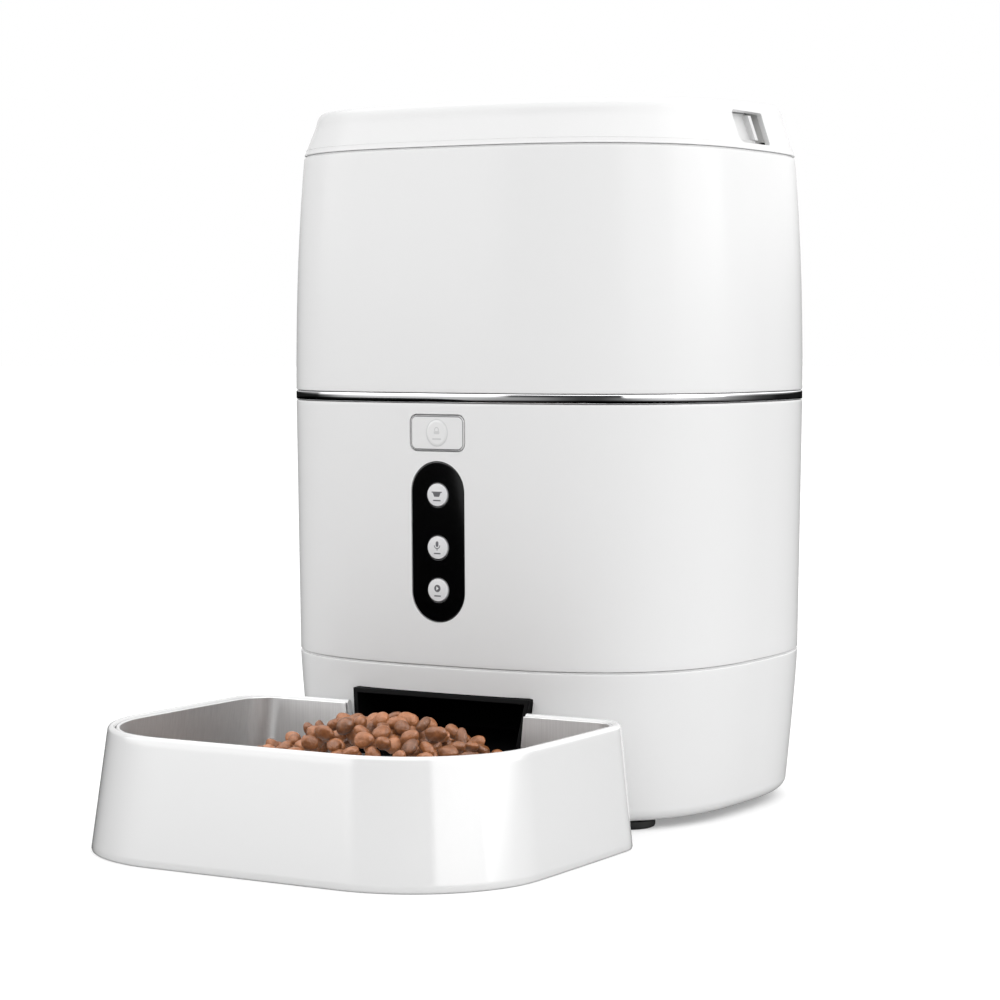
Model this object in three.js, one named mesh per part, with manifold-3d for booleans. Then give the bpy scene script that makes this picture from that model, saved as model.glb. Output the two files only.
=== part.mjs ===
// Automatic pet feeder: a squared-off round tower that holds dry food, a six-pocket portion wheel inside
// it, and a steel-lined bowl that docks under the spout in front.
//
// Millimetres, +Z up, front towards -Y. The tower is drawn about its own centre line and the finished
// group is moved so that the origin lies under the middle of the whole feeder, on the floor.

import * as THREE from 'three';
import { mergeVertices } from 'three/addons/utils/BufferGeometryUtils.js';
import Module from 'manifold-3d';

const wasm = await Module();
wasm.setup();

// ---------------------------------------------------------------- driving dimensions

const GAP = 0.3; // clearance between pieces that touch
const SEAM = 0.8; // open joint line between two casings
const WALL = 2.4; // casing wall
const ROUND_STEPS = 40; // facets round the tower

// tower
const HALF_WIDTH = 100;
const HALF_DEPTH = 90.1;
const SQUARENESS = 2.83; // power of the superellipse; 2 would be a plain ellipse
const BASE_TOP = 62.2;
const BAND_BOTTOM = 166.9;
const BAND_HEIGHT = 3.6;
const TANK_TOP = 266.4;
const TANK_TAPER = 3.5; // how far the skin draws in from the band to the lid
const TANK_CURVE = 2.3;
const HOUSING_TAPER = 1.45; // from the band down to the base seam
const BASE_TAPER = 5.1; // from the base seam down to the floor
const BASE_CURVE = 1.2;
const BASE_EDGE = 5.5; // rounding under the base
const FOOT_HEIGHT = 3;

// lid
const LID_SIDE_HEIGHT = 14;
const LID_LEAN = 4.8; // how far the side leans in over that height
const LID_EDGE_DROP = 5.5;
const LID_EDGE_RUN = 4.2;
const LID_CROWN = 2.5;
const LID_SLOPE = 0.029; // the top rises towards the back

// lips that step past the joint lines
const LIP = 1.8;
const LIP_HEIGHT = 6;

// tank and portion wheel
const HOPPER_WALL = 2;
const HOPPER_INSET = 9; // from the skin at the band to the hopper's outer face
const THROAT_INSET = 2; // from the pan's inside to the throat's
const FUNNEL_RISE = 25; // the funnel's top above the band
const PAN_RADIUS = 64; // inside
const DRIVE_SPACE = 28.3; // between the deck and the pan
const PAN_WALL = 2.4;
const PAN_DEPTH = 31;
const COVER_THICKNESS = 2.4;
const VANES = 6;
const VANE_THICKNESS = 3;
const VANE_CLEARANCE = 1.5;
const HUB_RADIUS = 9;
const SHAFT_RADIUS = 3;
const PORT_INNER = 27; // radius where the food ports start
const PORT_OUTER = PAN_RADIUS - 4;
const PORT_HALF_ANGLE = 27 * Math.PI / 180;

// gears, all of one tooth size
const MODULE = 1.5;
const OUTPUT_TEETH = 24;
const IDLER_LARGE_TEETH = 20;
const IDLER_SMALL_TEETH = 10;
const PINION_TEETH = 10;
const GEAR_WIDTH = 5;

// chute
const MOUTH_DROP = 10.3; // from the base seam to the top of the spout's mouth
const MOUTH_TOP = BASE_TOP - MOUTH_DROP;
const MOUTH_BOTTOM = 28.5; // top of the chute's floor at the mouth
const MOUTH_HALF_TOP = 41;
const MOUTH_HALF_BOTTOM = 37.2;
const CHUTE_WALL = 2;
const CHUTE_MARGIN = 2; // from the portion port to the inside of the chute
const CHUTE_BACK = -PORT_INNER * Math.cos(PORT_HALF_ANGLE) + CHUTE_MARGIN;
const CHUTE_NECK_FRONT = -PORT_OUTER - CHUTE_MARGIN - CHUTE_WALL;
const CHUTE_NECK_HALF = PORT_OUTER * Math.sin(PORT_HALF_ANGLE) + CHUTE_MARGIN + CHUTE_WALL;
const RAMP_RUN = 28; // length of the flatter part of the ramp, behind the mouth
const RAMP_RISE = 6.5;
const LIP_REACH = 4; // how far the floor of the spout reaches over the bowl

// bowl
const BOWL_HALF_WIDTH = 87.5; // at the rim
const BOWL_LENGTH = 129.4;
const BOWL_HEIGHT = 47;
const BOWL_FLARE = 5.4; // wider at the floor, on both sides and in front
const BOWL_FRONT_CORNER = 48.6;
const BOWL_REAR_CORNER = 15;
const BOWL_WALL = 3;
const BOWL_FLOOR = 5.5; // height of the shell's floor, inside
const BOWL_RECESS = 3; // and of its underside
const BOWL_DOCK_GAP = 1.0; // from the tower's front to the bowl
const LINER_WALL = 1.2;
const LINER_DROP = 0.9; // below the rim

// front panel
const PANEL_HALF_WIDTH = 12;
const PANEL_HEIGHT = 63.2;
const PANEL_CENTRE = 112;
const BUTTON_HALF_WIDTH = 4.6;
const BUTTON_HALF_HEIGHT = 4.8;
const BUTTON_HEIGHTS = { feed: PANEL_CENTRE + 18.6, record: PANEL_CENTRE - 2.2, play: PANEL_CENTRE - 19 };
const LED_HEIGHT = PANEL_CENTRE - 11.1;
const MICROPHONE_HEIGHT = PANEL_CENTRE + 8;
const BUTTON_PROUD = 0.5;
const RELEASE_HALF_WIDTH = 12.2;
const RELEASE_HALF_HEIGHT = 6.8;
const RELEASE_CENTRE = PANEL_CENTRE + 43;
const RELEASE_GAP = 0.6;
const RELEASE_CORNER = 2.8;
const BUTTON_FLANGE = 1.4; // how far a flange reaches past its button
const FLANGE_THICKNESS = 1.2;
const PRESS = 0.8; // travel of every button

// lid locks
const WINDOW_FRONT = -15;
const WINDOW_REAR = 12;
const WINDOW_BOTTOM = 269.8;
const WINDOW_TOP = 282.8;
const WINDOW_CORNER = 1.2;
const LOCK_TRAVEL = 7;
const LOCK_THICKNESS = 4;
const LOCK_ROOM = 11.5; // from the lid's edge to the inner side of a lock
const RIDGE_FRONT = 0;
const RIDGE_WIDTH = 2.8;

// power
const CELL_RADIUS = 16.7;
const CELL_LENGTH = 61;
const CELLS = 3;
const NUB_RADIUS = 4.5; // the cell's positive end
const NUB_HEIGHT = 1.5;
const MOTOR_RADIUS = 12;
const MOTOR_LENGTH = 24;
const BOX_WALL = 1.8;

// ---------------------------------------------------------------- finishes

const finish = (color, roughness, metalness = 0) => new THREE.MeshStandardMaterial(
  { color, roughness, metalness });
const whiteGloss = finish(0xe9e9e9, 0.18);
const whiteInner = finish(0xdcdcdc, 0.45);
const blackGloss = finish(0x080808, 0.08);
const blackPlastic = finish(0x151515, 0.4);
const chrome = finish(0xc8c8c8, 0.12, 1);
const steel = finish(0x9a9a9a, 0.28, 1);
const silver = finish(0xd5d5d5, 0.3, 0.2);
const rubber = finish(0x111111, 0.8);
const greyRubber = finish(0x8d8f90, 0.7);
const greyPlastic = finish(0x6d7072, 0.5);
const gearPlastic = finish(0xe6dfc8, 0.5);
const brass = finish(0xb58f4a, 0.3, 1);
const circuitBoard = finish(0x1f5b38, 0.5);
const cellJacket = finish(0x2b4c74, 0.35);
const lamp = finish(0x66c36a, 0.3);

// ---------------------------------------------------------------- solids

// A closed geometry as a manifold solid, turned right side out.
function solid(geometry) {
  geometry.deleteAttribute('normal');
  geometry.deleteAttribute('uv');
  const merged = mergeVertices(geometry, 1e-4);
  const index = merged.index.array;
  const corners = [];
  for (let i = 0; i < index.length; i += 3) {
    const [a, b, c] = [index[i], index[i + 1], index[i + 2]];
    if (a !== b && b !== c && c !== a) corners.push(a, b, c);
  }
  const build = (list) => new wasm.Manifold(new wasm.Mesh({
    numProp: 3,
    vertProperties: new Float32Array(merged.attributes.position.array),
    triVerts: new Uint32Array(list),
  }));
  const first = build(corners);
  if (first.volume() > 0) return first;
  for (let i = 0; i < corners.length; i += 3) {
    [corners[i + 1], corners[i + 2]] = [corners[i + 2], corners[i + 1]];
  }
  return build(corners);
}

// Joins and cuts, on any number of solids.
const join = (...parts) => parts.reduce((whole, part) => whole.add(part));
const cut = (whole, ...parts) => parts.reduce((rest, part) => rest.subtract(part), whole);
const common = (...parts) => parts.reduce((rest, part) => rest.intersect(part));

// Half the width of the tower's skin at a height.
function skin(z) {
  const bandMiddle = BAND_BOTTOM + BAND_HEIGHT / 2;
  if (z > bandMiddle) {
    return HALF_WIDTH - TANK_TAPER * ((z - bandMiddle) / (TANK_TOP + SEAM - bandMiddle)) ** TANK_CURVE;
  }
  if (z > BASE_TOP) return HALF_WIDTH - HOUSING_TAPER * (bandMiddle - z) / (bandMiddle - BASE_TOP);
  return HALF_WIDTH - HOUSING_TAPER - BASE_TAPER * ((BASE_TOP - z) / BASE_TOP) ** BASE_CURVE;
}

// Half the depth of a squared-off round section of the given half width.
const depthOf = (halfWidth) => halfWidth * HALF_DEPTH / HALF_WIDTH;

// The front of the skin on the centre line, as a Y value, drawn in by an inset.
const front = (z, inset = 0) => -depthOf(skin(z) - inset);

const levels = (from, to, steps) => Array.from({ length: steps + 1 },
  (_, i) => from + (to - from) * i / steps);
const skinLine = (from, to, steps, inset = 0) => levels(from, to, steps)
  .map((z) => [skin(z) - inset, z]);

// A profile of [half width, height] points carried round the tower's squared-off section. The profile
// starts and ends on the axis, or closes on itself. round(z) is 0 for the tower's section, 1 for a circle.
function aroundTower(profile, round = () => 0) {
  const points = profile.map(([r, z]) => new THREE.Vector2(r, z));
  if (profile[0][0] > 0) points.push(points[0].clone());
  const geometry = new THREE.LatheGeometry(points, ROUND_STEPS).rotateX(Math.PI / 2);
  const position = geometry.attributes.position;
  for (let i = 0; i < position.count; i += 1) {
    const [x, y, z] = [position.getX(i), position.getY(i), position.getZ(i)];
    const radius = Math.hypot(x, y);
    if (radius < 1e-6) continue;
    const blend = round(z);
    const power = SQUARENESS + (2 - SQUARENESS) * blend;
    const depth = HALF_DEPTH / HALF_WIDTH + (1 - HALF_DEPTH / HALF_WIDTH) * blend;
    const [c, s] = [x / radius, y / radius];
    const reach = radius / (Math.abs(c) ** power + Math.abs(s) ** power) ** (1 / power);
    position.setXYZ(i, reach * c, reach * s * depth, z);
  }
  return solid(geometry);
}

// A turned piece on a vertical axis.
function turned(profile, steps = 24, x = 0, y = 0) {
  const points = profile.map(([r, z]) => new THREE.Vector2(r, z));
  if (profile[0][0] > 0) points.push(points[0].clone());
  return solid(new THREE.LatheGeometry(points, steps).rotateX(Math.PI / 2)).translate([x, y, 0]);
}

const disc = (radius, from, to, x = 0, y = 0, steps = 20) => turned(
  [[0, from], [radius, from], [radius, to], [0, to]], steps, x, y);

const block = (x0, x1, y0, y1, z0, z1) => solid(new THREE.BoxGeometry(x1 - x0, y1 - y0, z1 - z0)
  .translate((x0 + x1) / 2, (y0 + y1) / 2, (z0 + z1) / 2));

// Outlines pushed along an axis: the outline is drawn in (x, z) for Y, (y, z) for X and (x, y) for Z.
const extruded = (shape, length, curveSegments) => new THREE.ExtrudeGeometry(shape,
  { depth: length, bevelEnabled: false, curveSegments });
const alongY = (shape, from, to, curve = 8) => solid(extruded(shape, to - from, curve)
  .rotateX(Math.PI / 2).translate(0, to, 0));
const alongX = (shape, from, to, curve = 8) => solid(extruded(shape, to - from, curve)
  .applyMatrix4(new THREE.Matrix4().makeBasis(new THREE.Vector3(0, 1, 0), new THREE.Vector3(0, 0, 1),
    new THREE.Vector3(1, 0, 0))).translate(from, 0, 0));
const alongZ = (shape, from, to, curve = 8) => solid(extruded(shape, to - from, curve)
  .translate(0, 0, from));

const polygon = (...points) => new THREE.Shape(points.map(([a, b]) => new THREE.Vector2(a, b)));

function ellipse(a, b, halfA, halfB) {
  const shape = new THREE.Shape();
  shape.absellipse(a, b, halfA, halfB, 0, Math.PI * 2);
  return shape;
}

function roundedBox(a, b, halfA, halfB, radius) {
  const shape = new THREE.Shape();
  shape.absarc(a + halfA - radius, b + halfB - radius, radius, 0, Math.PI / 2);
  shape.absarc(a - halfA + radius, b + halfB - radius, radius, Math.PI / 2, Math.PI);
  shape.absarc(a - halfA + radius, b - halfB + radius, radius, Math.PI, Math.PI * 1.5);
  shape.absarc(a + halfA - radius, b - halfB + radius, radius, Math.PI * 1.5, Math.PI * 2);
  return shape;
}

// Every piece of the feeder is one named mesh in this group.
const feeder = new THREE.Group();

function piece(name, body, material) {
  const mesh = body.getMesh();
  const geometry = new THREE.BufferGeometry();
  geometry.setAttribute('position', new THREE.BufferAttribute(new Float32Array(mesh.vertProperties), 3));
  geometry.setIndex(new THREE.BufferAttribute(new Uint32Array(mesh.triVerts), 1));
  geometry.computeVertexNormals();
  const part = new THREE.Mesh(geometry, material);
  part.name = name;
  feeder.add(part);
}

// The tower between two heights, drawn in by an inset.
const tower = (from, to, inset, steps = 6) => aroundTower(
  [[0, from], ...skinLine(from, to, steps, inset), [0, to]]);

// ---------------------------------------------------------------- levels shared by several pieces

const HOUSING_BOTTOM = BASE_TOP + SEAM;
const HOUSING_TOP = BAND_BOTTOM - GAP;
const DECK_BOTTOM = HOUSING_BOTTOM + 1.3;
const DECK_THICKNESS = 2.4;
const DECK_TOP = DECK_BOTTOM + DECK_THICKNESS;
const DECK_RADIUS = skin(HOUSING_BOTTOM) - WALL - LIP - 2 * GAP;
const PAN_FLOOR = DECK_TOP + DRIVE_SPACE;
const COVER_BOTTOM = PAN_FLOOR + PAN_DEPTH + GAP;
const COVER_TOP = COVER_BOTTOM + COVER_THICKNESS;
const THROAT_BOTTOM = COVER_TOP + GAP;
const THROAT_RADIUS = PAN_RADIUS - THROAT_INSET;
const AHEAD = -HALF_DEPTH - 20; // clear of everything in front of the tower
const BEHIND_FRONT = -HALF_DEPTH + 30; // well inside the front wall
const BEYOND = HALF_WIDTH + 20;

// ---------------------------------------------------------------- chute

// The duct's outside, or its inside when drawn in by the wall: a side outline and a front outline meet.
function duct(inset, overrun) {
  const topY = front(MOUTH_TOP);
  const lean = (MOUTH_TOP - MOUTH_BOTTOM) / 8;
  const side = polygon(
    [CHUTE_NECK_FRONT + inset, PAN_FLOOR - GAP + overrun],
    [CHUTE_NECK_FRONT + inset, MOUTH_TOP + 8 - inset],
    [topY + WALL + 5, MOUTH_TOP - inset],
    [topY - overrun, MOUTH_TOP - inset],
    [topY - lean - overrun, MOUTH_BOTTOM + 3],
    [topY - lean - LIP_REACH - overrun, MOUTH_BOTTOM + 0.5],
    [topY - lean - LIP_REACH - overrun, MOUTH_BOTTOM - CHUTE_WALL + inset],
    [topY + RAMP_RUN, MOUTH_BOTTOM + RAMP_RISE - CHUTE_WALL + inset],
    [CHUTE_BACK - inset, DECK_TOP + 5 + inset],
    [CHUTE_BACK - inset, PAN_FLOOR - GAP + overrun],
  );
  const face = polygon(
    [-MOUTH_HALF_TOP + inset, MOUTH_TOP],
    [-CHUTE_NECK_HALF + inset, MOUTH_TOP + 16],
    [-CHUTE_NECK_HALF + inset, PAN_FLOOR + overrun],
    [CHUTE_NECK_HALF - inset, PAN_FLOOR + overrun],
    [CHUTE_NECK_HALF - inset, MOUTH_TOP + 16],
    [MOUTH_HALF_TOP - inset, MOUTH_TOP],
    [MOUTH_HALF_BOTTOM - inset, MOUTH_BOTTOM - CHUTE_WALL],
    [-MOUTH_HALF_BOTTOM + inset, MOUTH_BOTTOM - CHUTE_WALL],
  );
  return common(alongX(side, -MOUTH_HALF_TOP, MOUTH_HALF_TOP), alongY(face, AHEAD, 0));
}

function makeChute() {
  piece('chute', cut(duct(0, 0), duct(CHUTE_WALL, 6)), blackPlastic);
}

// The spout's outline with a clearance round it, for what it passes through.
function spoutOutline(clearance) {
  const slope = (MOUTH_HALF_TOP - MOUTH_HALF_BOTTOM) / (MOUTH_TOP - MOUTH_BOTTOM + CHUTE_WALL);
  const bottom = MOUTH_BOTTOM - CHUTE_WALL - clearance;
  const half = (z) => MOUTH_HALF_TOP + clearance - (MOUTH_TOP - z) * slope;
  return { bottom, half };
}

// ---------------------------------------------------------------- base

const BOSS_Y = 25;
const BOSS_RADIUS = 4.5;
const BOSS_TOP = 26;
const SCREW_RADIUS = 1.25;
const SCREW_HEAD_RADIUS = 2.8;
const PLATE_THICKNESS = 3;
const PLATE_BOTTOM = FOOT_HEIGHT + GAP;
const PLATE_RADIUS = skin(PLATE_BOTTOM + BASE_EDGE) - BASE_EDGE - WALL - GAP;
const BOSS_X = PLATE_RADIUS - SCREW_HEAD_RADIUS - 2;
const BOX_FRONT = -4;
const CELL_PITCH = 2 * CELL_RADIUS + 1;
const BOX_HALF_WIDTH = CELLS * CELL_PITCH / 2 + BOX_WALL + 1;
const CONTACT_SPACE = 1.6;
const BOX_REAR = BOX_FRONT + CELL_LENGTH + 2 * (BOX_WALL + CONTACT_SPACE);
const BOX_BOTTOM = PLATE_BOTTOM + PLATE_THICKNESS + GAP;
const CELL_CENTRE = BOX_BOTTOM + CELL_RADIUS + 1;
const BOX_TOP = CELL_CENTRE + CELL_RADIUS + 1 + BOX_WALL;
const DOOR_MARGIN = 2.5;
const JACK_HEIGHT = 52;
const JACK_RADIUS = 5.6;
const FOOT_RADIUS = 11;
const FOOT_X = HALF_WIDTH - 34;
const FOOT_Y = HALF_DEPTH - 36.1;
const FEET = [['front_right', FOOT_X, -FOOT_Y], ['front_left', -FOOT_X, -FOOT_Y],
  ['rear_left', -FOOT_X, FOOT_Y], ['rear_right', FOOT_X, FOOT_Y]];
const BOSSES = [[BOSS_X, BOSS_Y], [BOSS_X, -BOSS_Y], [-BOSS_X, BOSS_Y], [-BOSS_X, -BOSS_Y]];

function makeBaseHousing() {
  const edgeTop = PLATE_BOTTOM + BASE_EDGE;
  const edge = levels(0, Math.PI / 2, 2).map((a) => [
    skin(edgeTop) - BASE_EDGE * (1 - Math.sin(a)), edgeTop - BASE_EDGE * Math.cos(a)]);
  const lipOuter = skin(BASE_TOP + SEAM) - WALL - GAP;
  const shell = aroundTower([
    ...edge,
    ...skinLine(edgeTop, BASE_TOP, 4).slice(1),
    [lipOuter, BASE_TOP],
    [lipOuter, BASE_TOP + LIP_HEIGHT],
    [lipOuter - LIP, BASE_TOP + LIP_HEIGHT],
    [lipOuter - LIP, DECK_BOTTOM - GAP],
    [lipOuter - LIP - 4, DECK_BOTTOM - GAP],
    [lipOuter - LIP - 4, DECK_BOTTOM - 4],
    [skin(52) - WALL, 52],
    ...skinLine(edgeTop, 50, 2, WALL).reverse(),
    [skin(edgeTop) - BASE_EDGE - WALL, PLATE_BOTTOM],
  ]);
  const { half, bottom } = spoutOutline(GAP);
  const top = MOUTH_TOP + GAP;
  const doorway = alongY(polygon([-half(top), top], [-half(bottom), bottom], [half(bottom), bottom],
    [half(top), top]), AHEAD, BEHIND_FRONT);
  const bossBottom = PLATE_BOTTOM + PLATE_THICKNESS + GAP;
  const bosses = BOSSES.map(([x, y]) => join(
    disc(BOSS_RADIUS, bossBottom, BOSS_TOP, x, y, 12),
    block(Math.min(x, Math.sign(x) * HALF_WIDTH), Math.max(x, Math.sign(x) * HALF_WIDTH), y - 1.5, y + 1.5,
      bossBottom, BOSS_TOP)));
  const pilots = BOSSES.map(([x, y]) => disc(SCREW_RADIUS + GAP, 0, 20, x, y, 12));
  const hole = ellipse(0, JACK_HEIGHT, JACK_RADIUS + GAP, JACK_RADIUS + GAP);
  const jackHole = alongY(hole, -BEHIND_FRONT, BEYOND, 5);
  const inside = tower(PLATE_BOTTOM, BASE_TOP, WALL / 2);
  const trimmed = bosses.map((boss) => common(boss, inside));
  piece('base_housing', cut(join(shell, ...trimmed), doorway, jackHole, ...pilots), whiteGloss);
}

function makeBasePlate() {
  const top = PLATE_BOTTOM + PLATE_THICKNESS;
  const plate = aroundTower(
    [[0, PLATE_BOTTOM], [PLATE_RADIUS, PLATE_BOTTOM], [PLATE_RADIUS, top], [0, top]]);
  const hatch = block(-BOX_HALF_WIDTH + DOOR_MARGIN, BOX_HALF_WIDTH - DOOR_MARGIN, BOX_FRONT + DOOR_MARGIN,
    BOX_REAR - DOOR_MARGIN, 0, 20);
  const holes = BOSSES.map(([x, y]) => disc(SCREW_RADIUS + GAP, 0, 20, x, y, 12));
  const sinks = BOSSES.map(([x, y]) => disc(SCREW_HEAD_RADIUS + GAP, 0, PLATE_BOTTOM + 1.8, x, y, 12));
  piece('base_plate', cut(plate, hatch, ...holes, ...sinks), greyPlastic);
}

function makeScrews() {
  BOSSES.forEach(([x, y], i) => {
    const head = PLATE_BOTTOM + 1.5;
    piece(`base_screw_${i + 1}`, turned([[0, PLATE_BOTTOM], [SCREW_HEAD_RADIUS, PLATE_BOTTOM],
      [SCREW_HEAD_RADIUS, head], [SCREW_RADIUS, head], [SCREW_RADIUS, 18], [0, 18]], 8, x, y), steel);
  });
}

function makeFeet() {
  for (const [place, x, y] of FEET) {
    piece(`foot_${place}`, turned([[0, 0], [FOOT_RADIUS - 1, 0], [FOOT_RADIUS, 1],
      [FOOT_RADIUS, FOOT_HEIGHT], [0, FOOT_HEIGHT]], 16, x, y), rubber);
  }
}

function makePower() {
  const outer = block(-BOX_HALF_WIDTH, BOX_HALF_WIDTH, BOX_FRONT, BOX_REAR, BOX_BOTTOM, BOX_TOP);
  const inner = block(-BOX_HALF_WIDTH + BOX_WALL, BOX_HALF_WIDTH - BOX_WALL, BOX_FRONT + BOX_WALL,
    BOX_REAR - BOX_WALL, 0, BOX_TOP - BOX_WALL);
  piece('battery_box', cut(outer, inner), whiteInner);
  const margin = DOOR_MARGIN + GAP;
  const door = block(-BOX_HALF_WIDTH + margin, BOX_HALF_WIDTH - margin, BOX_FRONT + margin,
    BOX_REAR - margin, PLATE_BOTTOM, PLATE_BOTTOM + PLATE_THICKNESS - 0.6);
  const screwHole = disc(SCREW_HEAD_RADIUS + GAP, 0, 20, 0, BOX_REAR - margin - 5, 12);
  piece('battery_door', cut(door, screwHole), greyPlastic);
  piece('battery_door_screw', disc(SCREW_HEAD_RADIUS, PLATE_BOTTOM, PLATE_BOTTOM + 2.4, 0,
    BOX_REAR - margin - 5, 12), steel);
  const cellFront = (BOX_FRONT + BOX_REAR) / 2 - CELL_LENGTH / 2;
  for (let i = 0; i < CELLS; i += 1) {
    const x = (i - (CELLS - 1) / 2) * CELL_PITCH;
    const jacket = alongY(ellipse(x, CELL_CENTRE, CELL_RADIUS, CELL_RADIUS), cellFront,
      cellFront + CELL_LENGTH - NUB_HEIGHT, 5);
    const nub = alongY(ellipse(x, CELL_CENTRE, NUB_RADIUS, NUB_RADIUS),
      cellFront + CELL_LENGTH - NUB_HEIGHT - 0.5, cellFront + CELL_LENGTH, 4);
    piece(`battery_${i + 1}`, join(jacket, nub), cellJacket);
  }
  const plateHalf = BOX_HALF_WIDTH - BOX_WALL - 1;
  for (const [name, y] of [['battery_contact_front', BOX_FRONT + BOX_WALL + GAP],
    ['battery_contact_rear', BOX_REAR - BOX_WALL - GAP - 0.8]]) {
    piece(name, block(-plateHalf, plateHalf, y, y + 0.8, CELL_CENTRE - 8, CELL_CENTRE + 8), steel);
  }
  const rear = depthOf(skin(JACK_HEIGHT));
  const jack = alongY(ellipse(0, JACK_HEIGHT, JACK_RADIUS, JACK_RADIUS), rear - 13, rear - 0.3, 5);
  const bore = alongY(ellipse(0, JACK_HEIGHT, 3.2, 3.2), rear - 10, rear + 5, 5);
  const pin = alongY(ellipse(0, JACK_HEIGHT, 1, 1), rear - 11, rear - 2, 3);
  piece('dc_inlet', join(cut(jack, bore), pin), blackPlastic);
}

// ---------------------------------------------------------------- housing, deck and drive

const POST = PAN_RADIUS * Math.SQRT1_2;
const IDLER_Y = MODULE * (OUTPUT_TEETH + IDLER_SMALL_TEETH) / 2;
const MOTOR_Y = IDLER_Y + MODULE * (IDLER_LARGE_TEETH + PINION_TEETH) / 2;
const OUTPUT_BOTTOM = DECK_TOP + DRIVE_SPACE - GEAR_WIDTH - 4;
const IDLER_BOTTOM = OUTPUT_BOTTOM - GEAR_WIDTH - 1.5;
const SPEAKER_HEIGHT = HOUSING_TOP - 30.6;
const SPEAKER_RADIUS = 16;
const SLOTS = 5;
const SLOT_PITCH = 5;
const PIN_RADIUS = 2;
const BRACKET_HALF = 26;
const BRACKET_DEPTH = 13;
const BRACKET_SHEET = 2;

function panelOutline(grow) {
  const half = PANEL_HALF_WIDTH + grow;
  return roundedBox(0, PANEL_CENTRE, half, PANEL_HEIGHT / 2 + grow, half - 0.01);
}

function releaseOutline(grow) {
  return roundedBox(0, RELEASE_CENTRE, RELEASE_HALF_WIDTH + grow, RELEASE_HALF_HEIGHT + grow,
    RELEASE_CORNER + grow);
}

// What lies between two insets from the front of the skin, inside an outline drawn on the front.
function frontLayer(outline, outerInset, innerInset, curve = 6) {
  const layer = cut(tower(HOUSING_BOTTOM, HOUSING_TOP, outerInset, 2),
    tower(HOUSING_BOTTOM - 1, HOUSING_TOP + 1, innerInset, 2));
  return common(layer, alongY(outline, AHEAD, BEHIND_FRONT, curve));
}

function makeHousing() {
  const lipOuter = skin(BAND_BOTTOM + BAND_HEIGHT + GAP) - WALL - GAP;
  const shell = aroundTower([
    ...skinLine(HOUSING_BOTTOM, HOUSING_TOP, 2),
    [lipOuter, HOUSING_TOP],
    [lipOuter, HOUSING_TOP + LIP_HEIGHT + 2],
    [lipOuter - LIP, HOUSING_TOP + LIP_HEIGHT + 2],
    [lipOuter - LIP, HOUSING_TOP - 1],
    [skin(HOUSING_TOP - 2.6) - WALL, HOUSING_TOP - 2.6],
    [skin(HOUSING_BOTTOM) - WALL, HOUSING_BOTTOM],
  ]);
  const window = alongY(panelOutline(GAP), AHEAD, BEHIND_FRONT, 6);
  const keyhole = alongY(releaseOutline(RELEASE_GAP), AHEAD, BEHIND_FRONT, 3);
  const slots = Array.from({ length: SLOTS }, (_, i) => {
    const z = SPEAKER_HEIGHT + (i - (SLOTS - 1) / 2) * SLOT_PITCH;
    const half = Math.sqrt((SPEAKER_RADIUS - 1) ** 2 - (z - SPEAKER_HEIGHT) ** 2);
    return alongY(roundedBox(0, z, half, 1, 0.99), -BEHIND_FRONT, BEYOND, 2);
  });
  piece('mid_housing', cut(shell, window, keyhole, ...slots), whiteGloss);
}

function makeBand() {
  const bottom = BAND_BOTTOM;
  const top = BAND_BOTTOM + BAND_HEIGHT;
  const inner = skin(top + GAP) - WALL;
  piece('trim_band', aroundTower(
    [[HALF_WIDTH, bottom], [HALF_WIDTH, top], [inner, top], [inner, bottom]]), chrome);
}

function makeDeck() {
  const plate = aroundTower(
    [[0, DECK_BOTTOM], [DECK_RADIUS, DECK_BOTTOM], [DECK_RADIUS, DECK_TOP], [0, DECK_TOP]]);
  const posts = [[POST, POST], [POST, -POST], [-POST, POST], [-POST, -POST]]
    .map(([x, y]) => disc(4, DECK_BOTTOM, PAN_FLOOR - GAP, x, y, 12));
  const passage = block(-CHUTE_NECK_HALF - 6, CHUTE_NECK_HALF + 6, CHUTE_NECK_FRONT - 10,
    CHUTE_BACK + 3, 0, PAN_FLOOR);
  const motorHole = disc(MOTOR_RADIUS + 0.6, 0, PAN_FLOOR, 0, MOTOR_Y);
  piece('deck', cut(join(plate, ...posts), passage, motorHole), whiteInner);
}

// A spur gear with straight-sided teeth, thinner than half the pitch so that two of them run free.
function spurGear(teeth, from, to, bore, toothAtBack) {
  const pitch = MODULE * teeth / 2;
  const step = 2 * Math.PI / teeth;
  const start = toothAtBack ? Math.PI / 2 : Math.PI / 2 + step / 2;
  const points = [];
  for (let i = 0; i < teeth; i += 1) {
    const middle = start + i * step;
    for (const [radius, offset] of [[pitch - 1.15 * MODULE, -0.28], [pitch + 0.85 * MODULE, -0.09],
      [pitch + 0.85 * MODULE, 0.09], [pitch - 1.15 * MODULE, 0.28]]) {
      const angle = middle + offset * step;
      points.push([radius * Math.cos(angle), radius * Math.sin(angle)]);
    }
  }
  const body = alongZ(polygon(...points), from, to);
  return cut(body, disc(bore, from - 1, to + 1, 0, 0, 16));
}

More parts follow.
